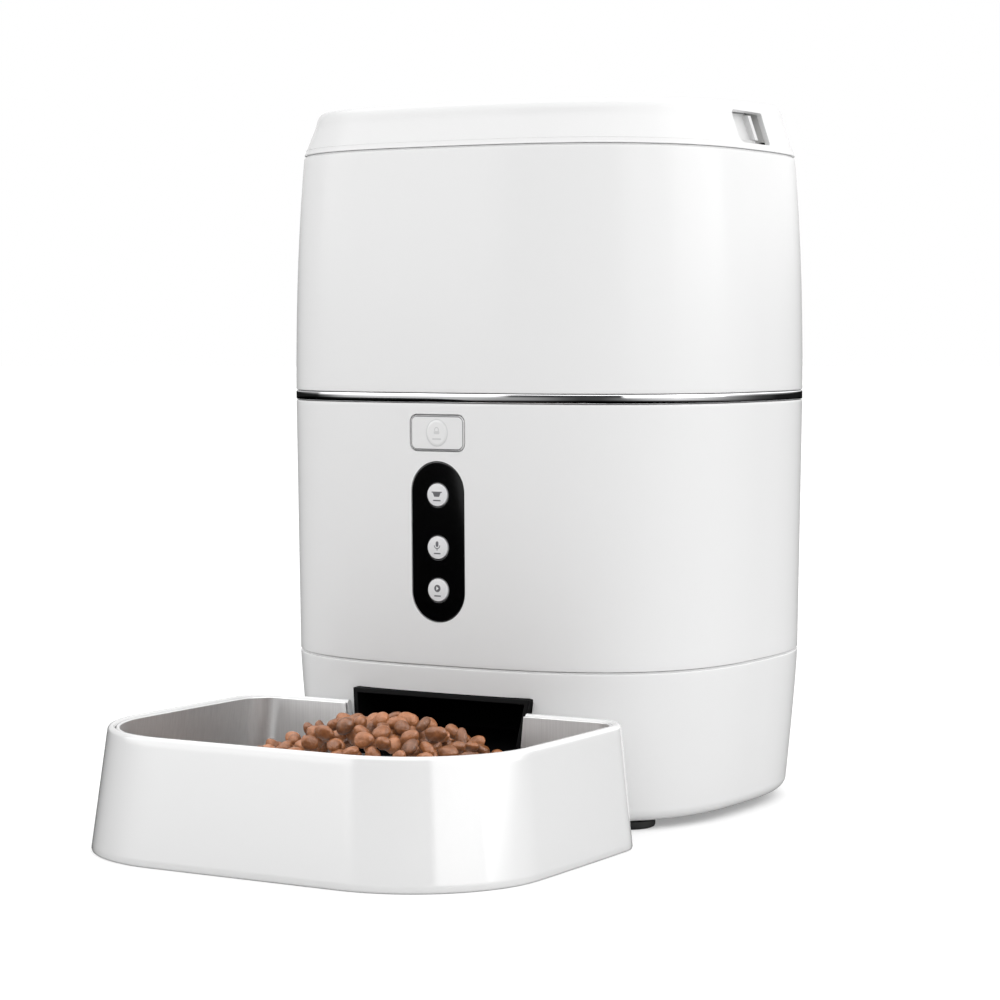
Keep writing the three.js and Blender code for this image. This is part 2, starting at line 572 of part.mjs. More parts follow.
function makeDrive() {
  const clearance = SHAFT_RADIUS + GAP;
  const outputTop = OUTPUT_BOTTOM + GEAR_WIDTH;
  piece('output_gear', spurGear(OUTPUT_TEETH, OUTPUT_BOTTOM, outputTop, clearance, true), gearPlastic);
  const bore = PIN_RADIUS + GAP;
  const small = spurGear(IDLER_SMALL_TEETH, OUTPUT_BOTTOM - 1, outputTop, bore, false);
  const large = spurGear(IDLER_LARGE_TEETH, IDLER_BOTTOM, IDLER_BOTTOM + GEAR_WIDTH, bore, true);
  const neck = cut(disc(5, IDLER_BOTTOM + 1, OUTPUT_BOTTOM, 0, 0, 16),
    disc(bore, IDLER_BOTTOM, outputTop, 0, 0, 16));
  piece('idler_gear', join(small, large, neck).translate([0, IDLER_Y, 0]), gearPlastic);
  piece('idler_pin', disc(PIN_RADIUS, DECK_TOP + GAP, outputTop + 1, 0, IDLER_Y, 16), steel);
  piece('motor_pinion', spurGear(PINION_TEETH, IDLER_BOTTOM, IDLER_BOTTOM + GEAR_WIDTH, 1.3, false)
    .translate([0, MOTOR_Y, 0]), brass);
  const bracketTop = IDLER_BOTTOM - 1.2;
  const channel = cut(
    block(-BRACKET_HALF, BRACKET_HALF, MOTOR_Y - BRACKET_DEPTH, MOTOR_Y + BRACKET_DEPTH, DECK_TOP + GAP,
      bracketTop),
    block(-BRACKET_HALF + BRACKET_SHEET, BRACKET_HALF - BRACKET_SHEET, 0, HALF_WIDTH, 0,
      bracketTop - BRACKET_SHEET),
    disc(4.5, 0, PAN_FLOOR, 0, MOTOR_Y, 16), disc(3, 0, PAN_FLOOR, 0, IDLER_Y, 16));
  piece('motor_bracket', channel, steel);
  const canTop = bracketTop - BRACKET_SHEET - GAP;
  const canBottom = canTop - MOTOR_LENGTH;
  piece('motor', turned([[0, canBottom], [MOTOR_RADIUS, canBottom], [MOTOR_RADIUS, canTop], [4, canTop],
    [4, canTop + 1.5], [1, canTop + 1.5], [1, IDLER_BOTTOM + GEAR_WIDTH],
    [0, IDLER_BOTTOM + GEAR_WIDTH]], 24, 0, MOTOR_Y), steel);
  piece('shaft_bush', turned([[clearance, DECK_TOP + GAP], [7, DECK_TOP + GAP], [7, DECK_TOP + 5],
    [clearance, DECK_TOP + 5]], 20), brass);
  piece('rotor_shaft', disc(SHAFT_RADIUS, DECK_TOP + GAP, AGITATOR_BOTTOM + 8, 0, 0, 20), steel);
}

// ---------------------------------------------------------------- portion wheel

const AGITATOR_BOTTOM = COVER_TOP + 1;
const AGITATOR_REACH = THROAT_RADIUS - 16;

// A food port: a ring sector about the shaft, facing the front or the back.
function port(towardsBack) {
  const middle = towardsBack ? Math.PI / 2 : -Math.PI / 2;
  const shape = new THREE.Shape();
  shape.absarc(0, 0, PORT_OUTER, middle - PORT_HALF_ANGLE, middle + PORT_HALF_ANGLE);
  shape.absarc(0, 0, PORT_INNER, middle + PORT_HALF_ANGLE, middle - PORT_HALF_ANGLE, true);
  return alongZ(shape, PAN_FLOOR - 5, COVER_TOP + 5, 6);
}

function makeWheel() {
  const outer = PAN_RADIUS + PAN_WALL;
  const floorTop = PAN_FLOOR + PAN_WALL;
  const hole = disc(SHAFT_RADIUS + GAP, 0, 200, 0, 0, 16);
  const pan = turned([[0, PAN_FLOOR], [outer, PAN_FLOOR], [outer, PAN_FLOOR + PAN_DEPTH], [PAN_RADIUS,
    PAN_FLOOR + PAN_DEPTH], [PAN_RADIUS, floorTop], [0, floorTop]], 40);
  piece('dispenser_pan', cut(pan, port(false), hole), whiteInner);
  piece('portion_cover', cut(disc(outer, COVER_BOTTOM, COVER_TOP, 0, 0, 40), port(true), hole), whiteInner);
  const low = floorTop + 0.8;
  const high = COVER_BOTTOM - 0.8;
  const vane = block(HUB_RADIUS - 2, PAN_RADIUS - VANE_CLEARANCE, -VANE_THICKNESS / 2,
    VANE_THICKNESS / 2, low, high);
  const vanes = Array.from({ length: VANES }, (_, i) => vane.rotate([0, 0, i * 360 / VANES]));
  piece('rotor', cut(join(disc(HUB_RADIUS, low, high), ...vanes), hole), silver);
  const boss = disc(6.5, AGITATOR_BOTTOM, AGITATOR_BOTTOM + 10, 0, 0, 16);
  const arms = [30, 150, 270].map((a) => block(5, AGITATOR_REACH, -2, 2, AGITATOR_BOTTOM + 2,
    AGITATOR_BOTTOM + 6).rotate([0, 0, a]));
  const socket = disc(SHAFT_RADIUS + GAP, 0, AGITATOR_BOTTOM + 8 + GAP, 0, 0, 16);
  piece('agitator', cut(join(boss, ...arms), socket), greyRubber);
}

// ---------------------------------------------------------------- front panel

const PANEL_DEPTH = 4; // from the skin to the back of the panel's flange
const BOARD_INSET = 12;
const BOARD_THICKNESS = 1.6;

function makePanel() {
  const face = frontLayer(panelOutline(0), 0.15, PANEL_DEPTH);
  const flange = frontLayer(panelOutline(2.2), WALL + GAP, PANEL_DEPTH);
  const holes = Object.values(BUTTON_HEIGHTS).map((z) => alongY(
    ellipse(0, z, BUTTON_HALF_WIDTH + GAP, BUTTON_HALF_HEIGHT + GAP), AHEAD, BEHIND_FRONT, 5));
  piece('control_panel', cut(join(face, flange), ...holes), blackGloss);
}

function makeButtons() {
  const stop = PANEL_DEPTH + GAP;
  for (const [name, z] of Object.entries(BUTTON_HEIGHTS)) {
    const back = stop + FLANGE_THICKNESS;
    const cap = frontLayer(ellipse(0, z, BUTTON_HALF_WIDTH, BUTTON_HALF_HEIGHT), -BUTTON_PROUD, back, 5);
    const flange = frontLayer(ellipse(0, z, BUTTON_HALF_WIDTH + BUTTON_FLANGE,
      BUTTON_HALF_HEIGHT + BUTTON_FLANGE), stop, back, 5);
    piece(`${name}_button`, join(cap, flange), silver);
  }
  const cap = frontLayer(releaseOutline(0), -0.15, WALL + 3, 3);
  const flange = frontLayer(releaseOutline(RELEASE_GAP + 1.2), WALL + GAP, WALL + 1.8, 3);
  piece('release_button', join(cap, flange), whiteGloss);
}

function makeElectronics() {
  const boardFront = front(PANEL_CENTRE) + BOARD_INSET;
  piece('control_board', block(-11, 11, boardFront, boardFront + BOARD_THICKNESS, BUTTON_HEIGHTS.play - 13,
    RELEASE_CENTRE + 4), circuitBoard);
  const switches = { ...BUTTON_HEIGHTS, release: RELEASE_CENTRE };
  for (const [name, z] of Object.entries(switches)) {
    const capBack = front(z, name === 'release' ? WALL + 3 : PANEL_DEPTH + GAP + FLANGE_THICKNESS);
    const body = block(-3, 3, boardFront - GAP - 3.4, boardFront - GAP, z - 3, z + 3);
    const stem = alongY(ellipse(0, z, 1.5, 1.5), capBack + PRESS + 0.2, boardFront - GAP - 3, 3);
    piece(`${name}_switch`, join(body, stem), blackPlastic);
  }
  piece('status_led', alongY(ellipse(0, LED_HEIGHT, 1.2, 1.2), front(LED_HEIGHT, PANEL_DEPTH) + GAP,
    boardFront - GAP, 3), lamp);
  piece('microphone', alongY(ellipse(0, MICROPHONE_HEIGHT, 3, 3), boardFront - GAP - 3,
    boardFront - GAP, 4), steel);
  const rear = depthOf(skin(SPEAKER_HEIGHT));
  piece('speaker', alongY(ellipse(0, SPEAKER_HEIGHT, SPEAKER_RADIUS, SPEAKER_RADIUS), rear - WALL - GAP - 6,
    rear - WALL - 2.2, 6), blackPlastic);
  piece('main_board', block(DECK_RADIUS - 42, DECK_RADIUS - 8, -30, 30, DECK_TOP + GAP,
    DECK_TOP + GAP + BOARD_THICKNESS), circuitBoard);
}

// ---------------------------------------------------------------- tank

const TANK_BOTTOM = BAND_BOTTOM + BAND_HEIGHT + GAP;
const HOPPER_RADIUS = HALF_WIDTH - HOPPER_INSET;
const LEDGE = TANK_TOP - 6.4;
const RIM_TOP = TANK_TOP + 2;
const FUNNEL_TOP = BAND_BOTTOM + FUNNEL_RISE;
const FUNNEL_HEIGHT = FUNNEL_TOP - THROAT_BOTTOM - 4;

function makeTank() {
  const shell = aroundTower([
    ...skinLine(TANK_BOTTOM, TANK_TOP, 4),
    ...skinLine(LEDGE, TANK_TOP, 1, WALL).reverse(),
    [HOPPER_RADIUS + GAP + 0.4, LEDGE],
    [HOPPER_RADIUS + GAP + 0.4, LEDGE - 2],
    [skin(LEDGE - 6) - WALL, LEDGE - 6],
    ...skinLine(TANK_BOTTOM, LEDGE - 20, 2, WALL).reverse(),
  ]);
  piece('upper_housing', shell, whiteGloss);
}

function makeHopper() {
  const inner = HOPPER_RADIUS - HOPPER_WALL;
  const throatOuter = THROAT_RADIUS + HOPPER_WALL;
  const round = (z) => THREE.MathUtils.clamp((FUNNEL_TOP - z) / FUNNEL_HEIGHT, 0, 1);
  const funnel = (radius, throat) => levels(0, 1, 3).map((t) => [throat + (radius - throat) * t,
    FUNNEL_TOP - FUNNEL_HEIGHT * (1 - t)]);
  const bin = aroundTower([
    [throatOuter, THROAT_BOTTOM],
    ...funnel(HOPPER_RADIUS, throatOuter),
    [HOPPER_RADIUS, LEDGE + GAP],
    [HOPPER_RADIUS + 2.7, LEDGE + GAP],
    [HOPPER_RADIUS + 2.7, LEDGE + 2],
    [HOPPER_RADIUS, LEDGE + 2],
    [HOPPER_RADIUS, RIM_TOP],
    [inner, RIM_TOP],
    ...funnel(inner, THROAT_RADIUS).reverse(),
    [THROAT_RADIUS, THROAT_BOTTOM],
  ], round);
  const keeper = (side) => block(side > 0 ? inner + 1 : -LEG_OUTER, side > 0 ? LEG_OUTER : -inner - 1,
    KEEPER_FRONT, KEEPER_FRONT + 4.5, RIM_TOP - 1.9, RIM_TOP - 0.4);
  piece('food_hopper', join(bin, keeper(1), keeper(-1)), whiteInner);
}

// ---------------------------------------------------------------- lid

const LID_BOTTOM = TANK_TOP + SEAM;
const LINER_PLATE = RIM_TOP + GAP;
const LINER_TOP = LINER_PLATE + 2;
const SKIRT_RADIUS = HOPPER_RADIUS - HOPPER_WALL - 2.4;
const SKIRT_DEPTH = 10.5;
const LEG_OUTER = HOPPER_RADIUS + 1.9;
const LEG_INNER = HOPPER_RADIUS + 0.5;
const LEG_FRONT = WINDOW_FRONT - 2;
const LEG_WIDTH = 5;
const CANISTER_RADIUS = 24;
const CANISTER_HEIGHT = 12;
const LOCK_INNER = skin(LID_BOTTOM) - LOCK_ROOM;
const KEEPER_FRONT = LEG_FRONT + LEG_WIDTH + LOCK_TRAVEL + 0.6;

// The lid's outline: a leaning side, a soft shoulder and a shallow crown, drawn in by an inset.
function lidProfile(inset, bottom) {
  const edge = skin(TANK_TOP + SEAM) - inset;
  const shoulder = edge - LID_LEAN;
  const shoulderHeight = LID_BOTTOM + LID_SIDE_HEIGHT - inset * 0.5;
  const drop = LID_EDGE_DROP - inset * 0.5;
  const rounded = levels(0, Math.PI / 2, 3).map((a) => [
    shoulder - LID_EDGE_RUN * (1 - Math.cos(a)), shoulderHeight + drop * Math.sin(a)]);
  const flat = shoulder - LID_EDGE_RUN;
  const crown = [0.5, 0].map((t) => [flat * t, shoulderHeight + drop + LID_CROWN * (1 - t * t)]);
  return [[edge, bottom], [edge, LID_BOTTOM], ...rounded, ...crown];
}

// The sloping top: everything above the joint line rises towards the back.
function sloped(body) {
  const full = LID_SIDE_HEIGHT + LID_EDGE_DROP;
  return body.warp((v) => {
    const share = THREE.MathUtils.clamp((v[2] - LID_BOTTOM) / full, 0, 1);
    v[2] += LID_SLOPE * v[1] * share;
  });
}

const lidSolid = (inset, bottom) => sloped(aroundTower([[0, bottom], ...lidProfile(inset, bottom).filter(
  ([, z], i) => i === 0 || z > bottom)]));

function makeLidShell() {
  const outline = roundedBox((WINDOW_FRONT + WINDOW_REAR) / 2, (WINDOW_BOTTOM + WINDOW_TOP) / 2,
    (WINDOW_REAR - WINDOW_FRONT) / 2, (WINDOW_TOP - WINDOW_BOTTOM) / 2, WINDOW_CORNER);
  const window = (side) => alongX(outline, side > 0 ? LOCK_INNER : -BEYOND,
    side > 0 ? BEYOND : -LOCK_INNER, 3);
  const inside = lidSolid(WALL, LID_BOTTOM - 5);
  piece('lid_shell', cut(lidSolid(0, LID_BOTTOM), inside, window(1), window(-1)), whiteGloss);
}

function makeLidLiner() {
  const plateRadius = HOPPER_RADIUS + 0.1;
  piece('lid_liner', aroundTower([
    [0, LINER_PLATE], [SKIRT_RADIUS - 2, LINER_PLATE], [SKIRT_RADIUS - 2, LINER_PLATE - SKIRT_DEPTH],
    [SKIRT_RADIUS, LINER_PLATE - SKIRT_DEPTH], [SKIRT_RADIUS, LINER_PLATE], [plateRadius, LINER_PLATE],
    [plateRadius, LINER_TOP], [0, LINER_TOP]]), whiteInner);
  const sealTop = LINER_PLATE - SKIRT_DEPTH + 4;
  piece('lid_seal', aroundTower([
    [SKIRT_RADIUS + GAP, sealTop - 3], [SKIRT_RADIUS + 1.9, sealTop - 1.5], [SKIRT_RADIUS + GAP, sealTop]]),
  greyRubber);
  const canisterTop = LINER_PLATE - GAP;
  const canister = disc(CANISTER_RADIUS, canisterTop - CANISTER_HEIGHT, canisterTop, 0, 0, 24);
  const grooves = levels(-12, 12, 3).map((y) => block(-14, 14, y - 1.5, y + 1.5, 0,
    canisterTop - CANISTER_HEIGHT + 1.5));
  piece('desiccant_canister', cut(canister, ...grooves), whiteInner);
}

function makeLocks() {
  for (const [name, side] of [['right', 1], ['left', -1]]) {
    const behindWall = WALL + GAP;
    const tab = polygon([LEG_FRONT, LINER_TOP + GAP], [RIDGE_FRONT + RIDGE_WIDTH, LINER_TOP + GAP],
      [RIDGE_FRONT + RIDGE_WIDTH, WINDOW_TOP + 0.5], [LEG_FRONT, WINDOW_TOP + 0.5]);
    const slab = common(alongX(tab, LOCK_INNER, BEYOND), lidSolid(behindWall, 250));
    const back = lidSolid(behindWall + LOCK_THICKNESS, 250);
    const ridge = common(block(LOCK_INNER, BEYOND, RIDGE_FRONT, RIDGE_FRONT + RIDGE_WIDTH,
      WINDOW_BOTTOM + 1.5, WINDOW_TOP - 1.5), lidSolid(0.6, 250));
    const leg = common(block(LEG_INNER, LEG_OUTER, LEG_FRONT, LEG_FRONT + LEG_WIDTH, LEDGE + 3.2,
      LINER_TOP + 3), lidSolid(behindWall, 250));
    const toe = block(LEG_INNER, LEG_OUTER, LEG_FRONT, LEG_FRONT + LEG_WIDTH + 4, LEDGE + 3.2,
      LEDGE + 5.4);
    const lock = join(cut(join(slab, ridge), back), leg, toe);
    piece(`lid_lock_${name}`, side > 0 ? lock : lock.mirror([1, 0, 0]), silver);
  }
}

// ---------------------------------------------------------------- bowl

const BOWL_REAR = front(BOWL_HEIGHT) - BOWL_DOCK_GAP;

// The bowl's outline at the rim, drawn in by an inset, carried down to the floor with a flare.
function bowlSolid(inset, from, to) {
  const half = BOWL_HALF_WIDTH - inset;
  const rear = BOWL_REAR - inset;
  const nose = BOWL_REAR - BOWL_LENGTH + inset;
  const frontRound = BOWL_FRONT_CORNER - inset;
  const rearRound = BOWL_REAR_CORNER - inset;
  const shape = new THREE.Shape();
  shape.absarc(half - rearRound, rear - rearRound, rearRound, 0, Math.PI / 2);
  shape.absarc(-half + rearRound, rear - rearRound, rearRound, Math.PI / 2, Math.PI);
  shape.absarc(-half + frontRound, nose + frontRound, frontRound, Math.PI, Math.PI * 1.5);
  shape.absarc(half - frontRound, nose + frontRound, frontRound, Math.PI * 1.5, Math.PI * 2);
  const geometry = extruded(shape, to - from, 6).translate(0, 0, from);
  const position = geometry.attributes.position;
  for (let i = 0; i < position.count; i += 1) {
    const flare = BOWL_FLARE * (1 - position.getZ(i) / BOWL_HEIGHT);
    position.setX(i, position.getX(i) * (1 + flare / BOWL_HALF_WIDTH));
    position.setY(i, BOWL_REAR + (position.getY(i) - BOWL_REAR) * (1 + flare / BOWL_LENGTH));
  }
  return solid(geometry);
}

function makeBowl() {
  const { half, bottom } = spoutOutline(BOWL_DOCK_GAP);
  const top = BOWL_HEIGHT + 5;
  const notch = alongY(polygon([-half(top), top], [-half(bottom), bottom], [half(bottom), bottom],
    [half(top), top]), BOWL_REAR - BOWL_REAR_CORNER / 2, BOWL_REAR + 10);
  const shell = cut(bowlSolid(0, 0, BOWL_HEIGHT), bowlSolid(BOWL_WALL, BOWL_FLOOR, top),
    bowlSolid(BOWL_WALL + 1, -2, BOWL_RECESS), notch);
  piece('bowl', shell, whiteGloss);
  const tub = BOWL_WALL + GAP;
  const floor = BOWL_FLOOR + GAP;
  const liner = cut(bowlSolid(tub, floor, BOWL_HEIGHT - LINER_DROP),
    bowlSolid(tub + LINER_WALL, floor + LINER_WALL, top), notch);
  piece('bowl_liner', liner, steel);
}

// ---------------------------------------------------------------- assembly

makeBaseHousing();
makeBasePlate();
makeScrews();
makeFeet();
makePower();
makeHousing();
makeBand();
makeDeck();
makeDrive();
makeChute();
makeWheel();
makePanel();
makeButtons();
makeElectronics();
makeTank();
makeHopper();
makeLidShell();
makeLidLiner();
makeLocks();
makeBowl();

// The origin lies midway between the bowl's front and the tower's back, on the floor.
const NOSE = BOWL_REAR - BOWL_LENGTH - BOWL_FLARE;
feeder.position.y = -(NOSE + HALF_DEPTH) / 2;

export default feeder;
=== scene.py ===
"""Automatic pet feeder: the finished surfaces, materials, floor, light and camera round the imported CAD
frame."""

import math

import bmesh
import bpy
import numpy as np
from bpy.props import FloatProperty, FloatVectorProperty, IntProperty, PointerProperty
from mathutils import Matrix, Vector


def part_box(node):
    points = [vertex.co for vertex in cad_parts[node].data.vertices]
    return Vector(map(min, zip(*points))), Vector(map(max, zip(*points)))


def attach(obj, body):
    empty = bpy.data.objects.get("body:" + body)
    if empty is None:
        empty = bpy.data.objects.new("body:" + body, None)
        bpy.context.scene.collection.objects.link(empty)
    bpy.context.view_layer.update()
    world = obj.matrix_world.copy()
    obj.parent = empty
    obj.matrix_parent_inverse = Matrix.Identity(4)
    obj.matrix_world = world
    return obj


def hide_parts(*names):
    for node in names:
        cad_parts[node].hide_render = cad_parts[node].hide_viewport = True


bl_info = {
    "name": "Pet Feeder",
    "version": (1, 0, 0),
    "blender": (4, 5, 0),
    "location": "View3D > Sidebar > Pet Feeder",
    "description": "Builds the finished surfaces and materials of a pet feeder round its packed parts",
    "category": "Add Mesh",
}

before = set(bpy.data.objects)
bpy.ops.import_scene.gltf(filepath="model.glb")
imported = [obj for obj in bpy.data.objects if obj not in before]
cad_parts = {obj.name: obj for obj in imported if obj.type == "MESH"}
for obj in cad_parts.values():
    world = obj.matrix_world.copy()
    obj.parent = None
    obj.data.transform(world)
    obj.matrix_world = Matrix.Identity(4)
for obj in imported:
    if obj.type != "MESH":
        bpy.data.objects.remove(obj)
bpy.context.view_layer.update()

MM = 0.001
BAND_LOW, BAND_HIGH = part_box("trim_band")
CENTRE_Y = (BAND_LOW.y + BAND_HIGH.y) / 2
HALF_WIDTH = BAND_HIGH.x / MM
DEPTH_RATIO = (BAND_HIGH.y - BAND_LOW.y) / (BAND_HIGH.x - BAND_LOW.x)


def low(node):
    """A CAD node's lowest corner in millimetres from the tower's centre line."""
    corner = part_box(node)[0] / MM
    return Vector((corner.x, corner.y - CENTRE_Y / MM, corner.z))


def high(node):
    """A CAD node's highest corner in millimetres from the tower's centre line."""
    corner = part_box(node)[1] / MM
    return Vector((corner.x, corner.y - CENTRE_Y / MM, corner.z))


# Lengths in millimetres, and a few counts, that the surfaces below share.
BASE_TOP = 62.2  # height of the base casing's upper edge
SEAM = low("mid_housing").z - BASE_TOP
LID_BOTTOM = high("upper_housing").z + SEAM
BAND_TOP = BAND_HIGH.z / MM
GAP = 0.3  # between a piece and the opening that it sits in
GROOVE = 0.9  # depth of the step that makes a seam's shadow
INNER_FACE = 2.4  # from the skin to the inner face of the trim band and the tank
HOPPER_HALF = HALF_WIDTH - 9  # half width of the food hopper
THROAT = 62.0  # radius of the hopper's round outlet
MOUTH_TOP = 51.9  # upper edge of the spout's mouth
PANEL_FLANGE, KEY_FLANGE, RELEASE_FLANGE = 2.2, 1.4, 1.8
BOWL_FLOOR = 5.5  # height of the white bowl's inner floor
STEEL_SHEET = 1.2  # thickness of the bowl's liner
LOCK_WINDOW = (-15.0, 12.0, 269.8, 282.8)  # front, back, bottom and top
LOCK_SKIRT = 92.35  # from the tower's middle to the middle of a lid lock's skirt
TRIES_PER_LAYER = 6000
LAYER_DROPS = (0.0, 4.2)  # how much lower each layer of food lies
START_ANGLE = math.radians(45)
CAMERA_LENS = 103.53  # focal length in millimetres on a 36 mm sensor
CAMERA_OFFSET = (0.595159, -1.049821, 0.193860)  # metres from the foot of the tower's middle line
CAMERA_AIM = (-0.50736018, 0.8598011, -0.05768643)
# Studio cards as (compass degrees, brightness); 0 is straight in front of the feeder, 90 is towards +X.
TALL_CARDS = [
    (-180, 1.0), (-150, 0.9), (-118, 0.5), (-98, 0.5), (-84, 0.6), (-81, 2.2), (-24, 2.4), (-17, 0.05),
    (44, 0.05), (49, 2.5), (86, 2.9), (91, 5.6), (131, 5.6), (135, 2.2), (180, 1.4)]
LOW_CARDS = [
    (-180, 0.01), (-85, 0.012), (-72, 0.15), (-60, 0.45), (-45, 0.6), (-33, 0.6), (-28, 0.52), (-20, 0.38),
    (-5, 0.26), (7, 0.12), (16, 0.06), (30, 0.07), (44, 0.18), (67, 0.55), (92, 0.84), (111, 0.66),
    (143, 0.2), (157, 0.012), (180, 0.01)]


# ---------------------------------------------------------------- sizes and colours a user would change


class FeederSizes(bpy.types.PropertyGroup):
    """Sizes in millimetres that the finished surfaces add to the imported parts"""

    squareness: FloatProperty(name="Squareness", description="Power of the tower's superellipse",
                              default=2.83, min=2, max=6)
    tank_taper: FloatProperty(name="Tank taper", description="How far the tank draws in up to the lid, mm",
                              default=3.5)
    tank_curve: FloatProperty(name="Tank curve", description="Power of the tank's taper", default=2.3)
    housing_taper: FloatProperty(name="Housing taper", description="From the band down to the base, mm",
                                 default=1.45)
    base_taper: FloatProperty(name="Base taper", description="From the base seam down to the floor, mm",
                              default=5.1)
    base_curve: FloatProperty(name="Base curve", description="Power of the base's taper", default=1.2)
    base_edge: FloatProperty(name="Base edge", description="Rounding under the base, mm", default=5.5)
    wall: FloatProperty(name="Casing wall", description="Thickness of the casings, mm", default=2.4, min=0.5)
    edge: FloatProperty(name="Edge rounding", description="Rounding of the casings' edges, mm",
                        default=0.45, min=0.05)
    lid_lean: FloatProperty(name="Lid lean", description="How far the lid's side leans in, mm", default=4.8)
    lid_side: FloatProperty(name="Lid side", description="Height of the lid's leaning side, mm", default=14)
    lid_drop: FloatProperty(name="Lid shoulder drop", description="Height of the lid's shoulder, mm",
                            default=5.5)
    lid_run: FloatProperty(name="Lid shoulder run", description="Width of the lid's shoulder, mm",
                           default=4.2)
    lid_crown: FloatProperty(name="Lid crown", description="Rise of the lid's crown, mm", default=2.5)
    lid_slope: FloatProperty(name="Lid slope", description="Rise of the lid towards the back, mm per mm",
                             default=0.029)
    bowl_flare: FloatProperty(name="Bowl flare", description="How much wider the bowl is at the floor, mm",
                              default=5.4)
    bowl_bulge: FloatProperty(name="Bowl bulge", description="Bulge of the bowl's sides in plan, mm",
                              default=1.1)
    bowl_front_corner: FloatProperty(name="Bowl front corner", description="Corner radius in front, mm",
                                     default=48.6)
    bowl_rear_corner: FloatProperty(name="Bowl rear corner", description="Corner radius behind, mm",
                                    default=15)
    rim_radius: FloatProperty(name="Bowl rim", description="Rounding of the bowl's rim, mm", default=1.5)
    spout_lean: FloatProperty(name="Spout lean", description="Lean of the spout's sides, mm per mm",
                              default=0.149)
    liner_fillet: FloatProperty(name="Liner fillet", description="Rounding at the liner's floor, mm",
                                default=9)
    columns: IntProperty(name="Columns", description="Columns round the tower", default=240, min=48, max=600)
    kibble_size: FloatProperty(name="Kibble size", description="Middle diameter of one piece of food, mm",
                               default=8.3)
    kibble_count: IntProperty(name="Kibble count", description="Pieces of food in the bowl", default=640,
                              min=10, max=900)


class FeederColours(bpy.types.PropertyGroup):
    """Colours of the finishes, as linear RGB"""

    shell: FloatVectorProperty(name="Casing", description="White casing", subtype="COLOR",
                               default=(0.84, 0.84, 0.84))
    inner: FloatVectorProperty(name="Inner parts", description="White inner parts", subtype="COLOR",
                               default=(0.72, 0.72, 0.71))
    panel: FloatVectorProperty(name="Panel", description="Key panel", subtype="COLOR",
                               default=(0.0012, 0.0012, 0.0014))
    black: FloatVectorProperty(name="Spout", description="Black parts", subtype="COLOR",
                               default=(0.0014, 0.0014, 0.0016))
    steel: FloatVectorProperty(name="Steel", description="Bowl liner", subtype="COLOR",
                               default=(0.80, 0.80, 0.80))
    keys: FloatVectorProperty(name="Keys", description="Silver-white keys", subtype="COLOR",
                              default=(0.78, 0.78, 0.79))
    # The print grey colours the keys' printed marks and also the painted shade along the release key's edge.
    print_and_edge_shade_grey: FloatVectorProperty(name="Print", description="Printed marks", subtype="COLOR",
                                    default=(0.13, 0.13, 0.14))
    lock: FloatVectorProperty(name="Lock", description="Lid locks", subtype="COLOR",
                              default=(0.66, 0.66, 0.66))
    kibble: FloatVectorProperty(name="Kibble", description="Food", subtype="COLOR",
                                default=(0.36, 0.125, 0.036))


def sizes():
    """The sizes set on the scene."""
    return bpy.context.scene.feeder_sizes


def colours():
    """The colours set on the scene."""
    return bpy.context.scene.feeder_colours


# ---------------------------------------------------------------- numpy surfaces


def section(angle, power, depth):
    """Superellipse: the point at each angle is pushed out until |x|^power + |y/depth|^power is one."""
    c, s = np.cos(angle), np.sin(angle)
    reach = (np.abs(c) ** power + np.abs(s) ** power) ** (-1.0 / power)
    return reach * c, reach * s * depth


def grid_faces(rows, columns):
    """Quads of a grid of points, wound so that along-the-row cross up-the-rows points out."""
    r, c = np.meshgrid(np.arange(rows - 1), np.arange(columns - 1), indexing="ij")
    first = (r * columns + c).ravel()
    return np.stack([first, first + 1, first + columns + 1, first + columns], axis=1)


def as_part(points):
    """A (rows, columns, 3) array in millimetres from the tower's axis as vertices in metres and quads."""
    rows, columns = points.shape[:2]
    placed = points.reshape(-1, 3) * MM + np.array([0.0, CENTRE_Y, 0.0])
    return placed, grid_faces(rows, columns)


def skin(z):
    """Half width of the tower: a power-law taper above the band, a straight one below it, a power law in
    the base."""
    s = sizes()
    z = np.asarray(z, float)
    middle = (BAND_LOW.z + BAND_HIGH.z) / 2 / MM
    up = np.clip((z - middle) / (LID_BOTTOM - middle), 0, 1.2)
    down = np.clip((BASE_TOP - z) / BASE_TOP, 0, 1)
    between = s.housing_taper * np.clip(middle - z, 0, middle - BASE_TOP) / (middle - BASE_TOP)
    return HALF_WIDTH - np.where(z > middle, s.tank_taper * up**s.tank_curve,
                                 between + s.base_taper * down**s.base_curve)


def front_of(x, z, inset=0.0):
    """Y of the front skin at a place (x, z): the superellipse solved for y, drawn in by an inset."""
    power = sizes().squareness
    half = skin(z) - inset
    share = np.clip(np.abs(np.asarray(x, float)) / half, 0, 0.9999)
    return -half * DEPTH_RATIO * (1 - share**power) ** (1 / power)


def face_of(node, flange):
    """Middle height, half width and half height of a panel's or key's face, inside its flange."""
    lowest, highest = low(node), high(node)
    middle = (highest.z + lowest.z) / 2
    return middle, (highest.x - lowest.x) / 2 - flange, (highest.z - lowest.z) / 2 - flange


class Profile:
    """A line of (half width, height) points, measured by its arc length."""

    def __init__(self, points):
        self.points = np.asarray(points, float)
        steps = np.linalg.norm(np.diff(self.points, axis=0), axis=1)
        self.length = np.concatenate([[0.0], np.cumsum(steps)])

    def at(self, length):
        """Half width and height at an arc length, by linear interpolation between close points."""
        return (np.interp(length, self.length, self.points[:, 0]),
                np.interp(length, self.length, self.points[:, 1]))

    def find(self, z, start, end):
        """Arc length at a height, on the stretch of the line between two arc lengths, where height only
        rises."""
        inside = (self.length >= start - 1e-9) & (self.length <= end + 1e-9)
        return np.interp(z, self.points[inside, 1], self.length[inside])


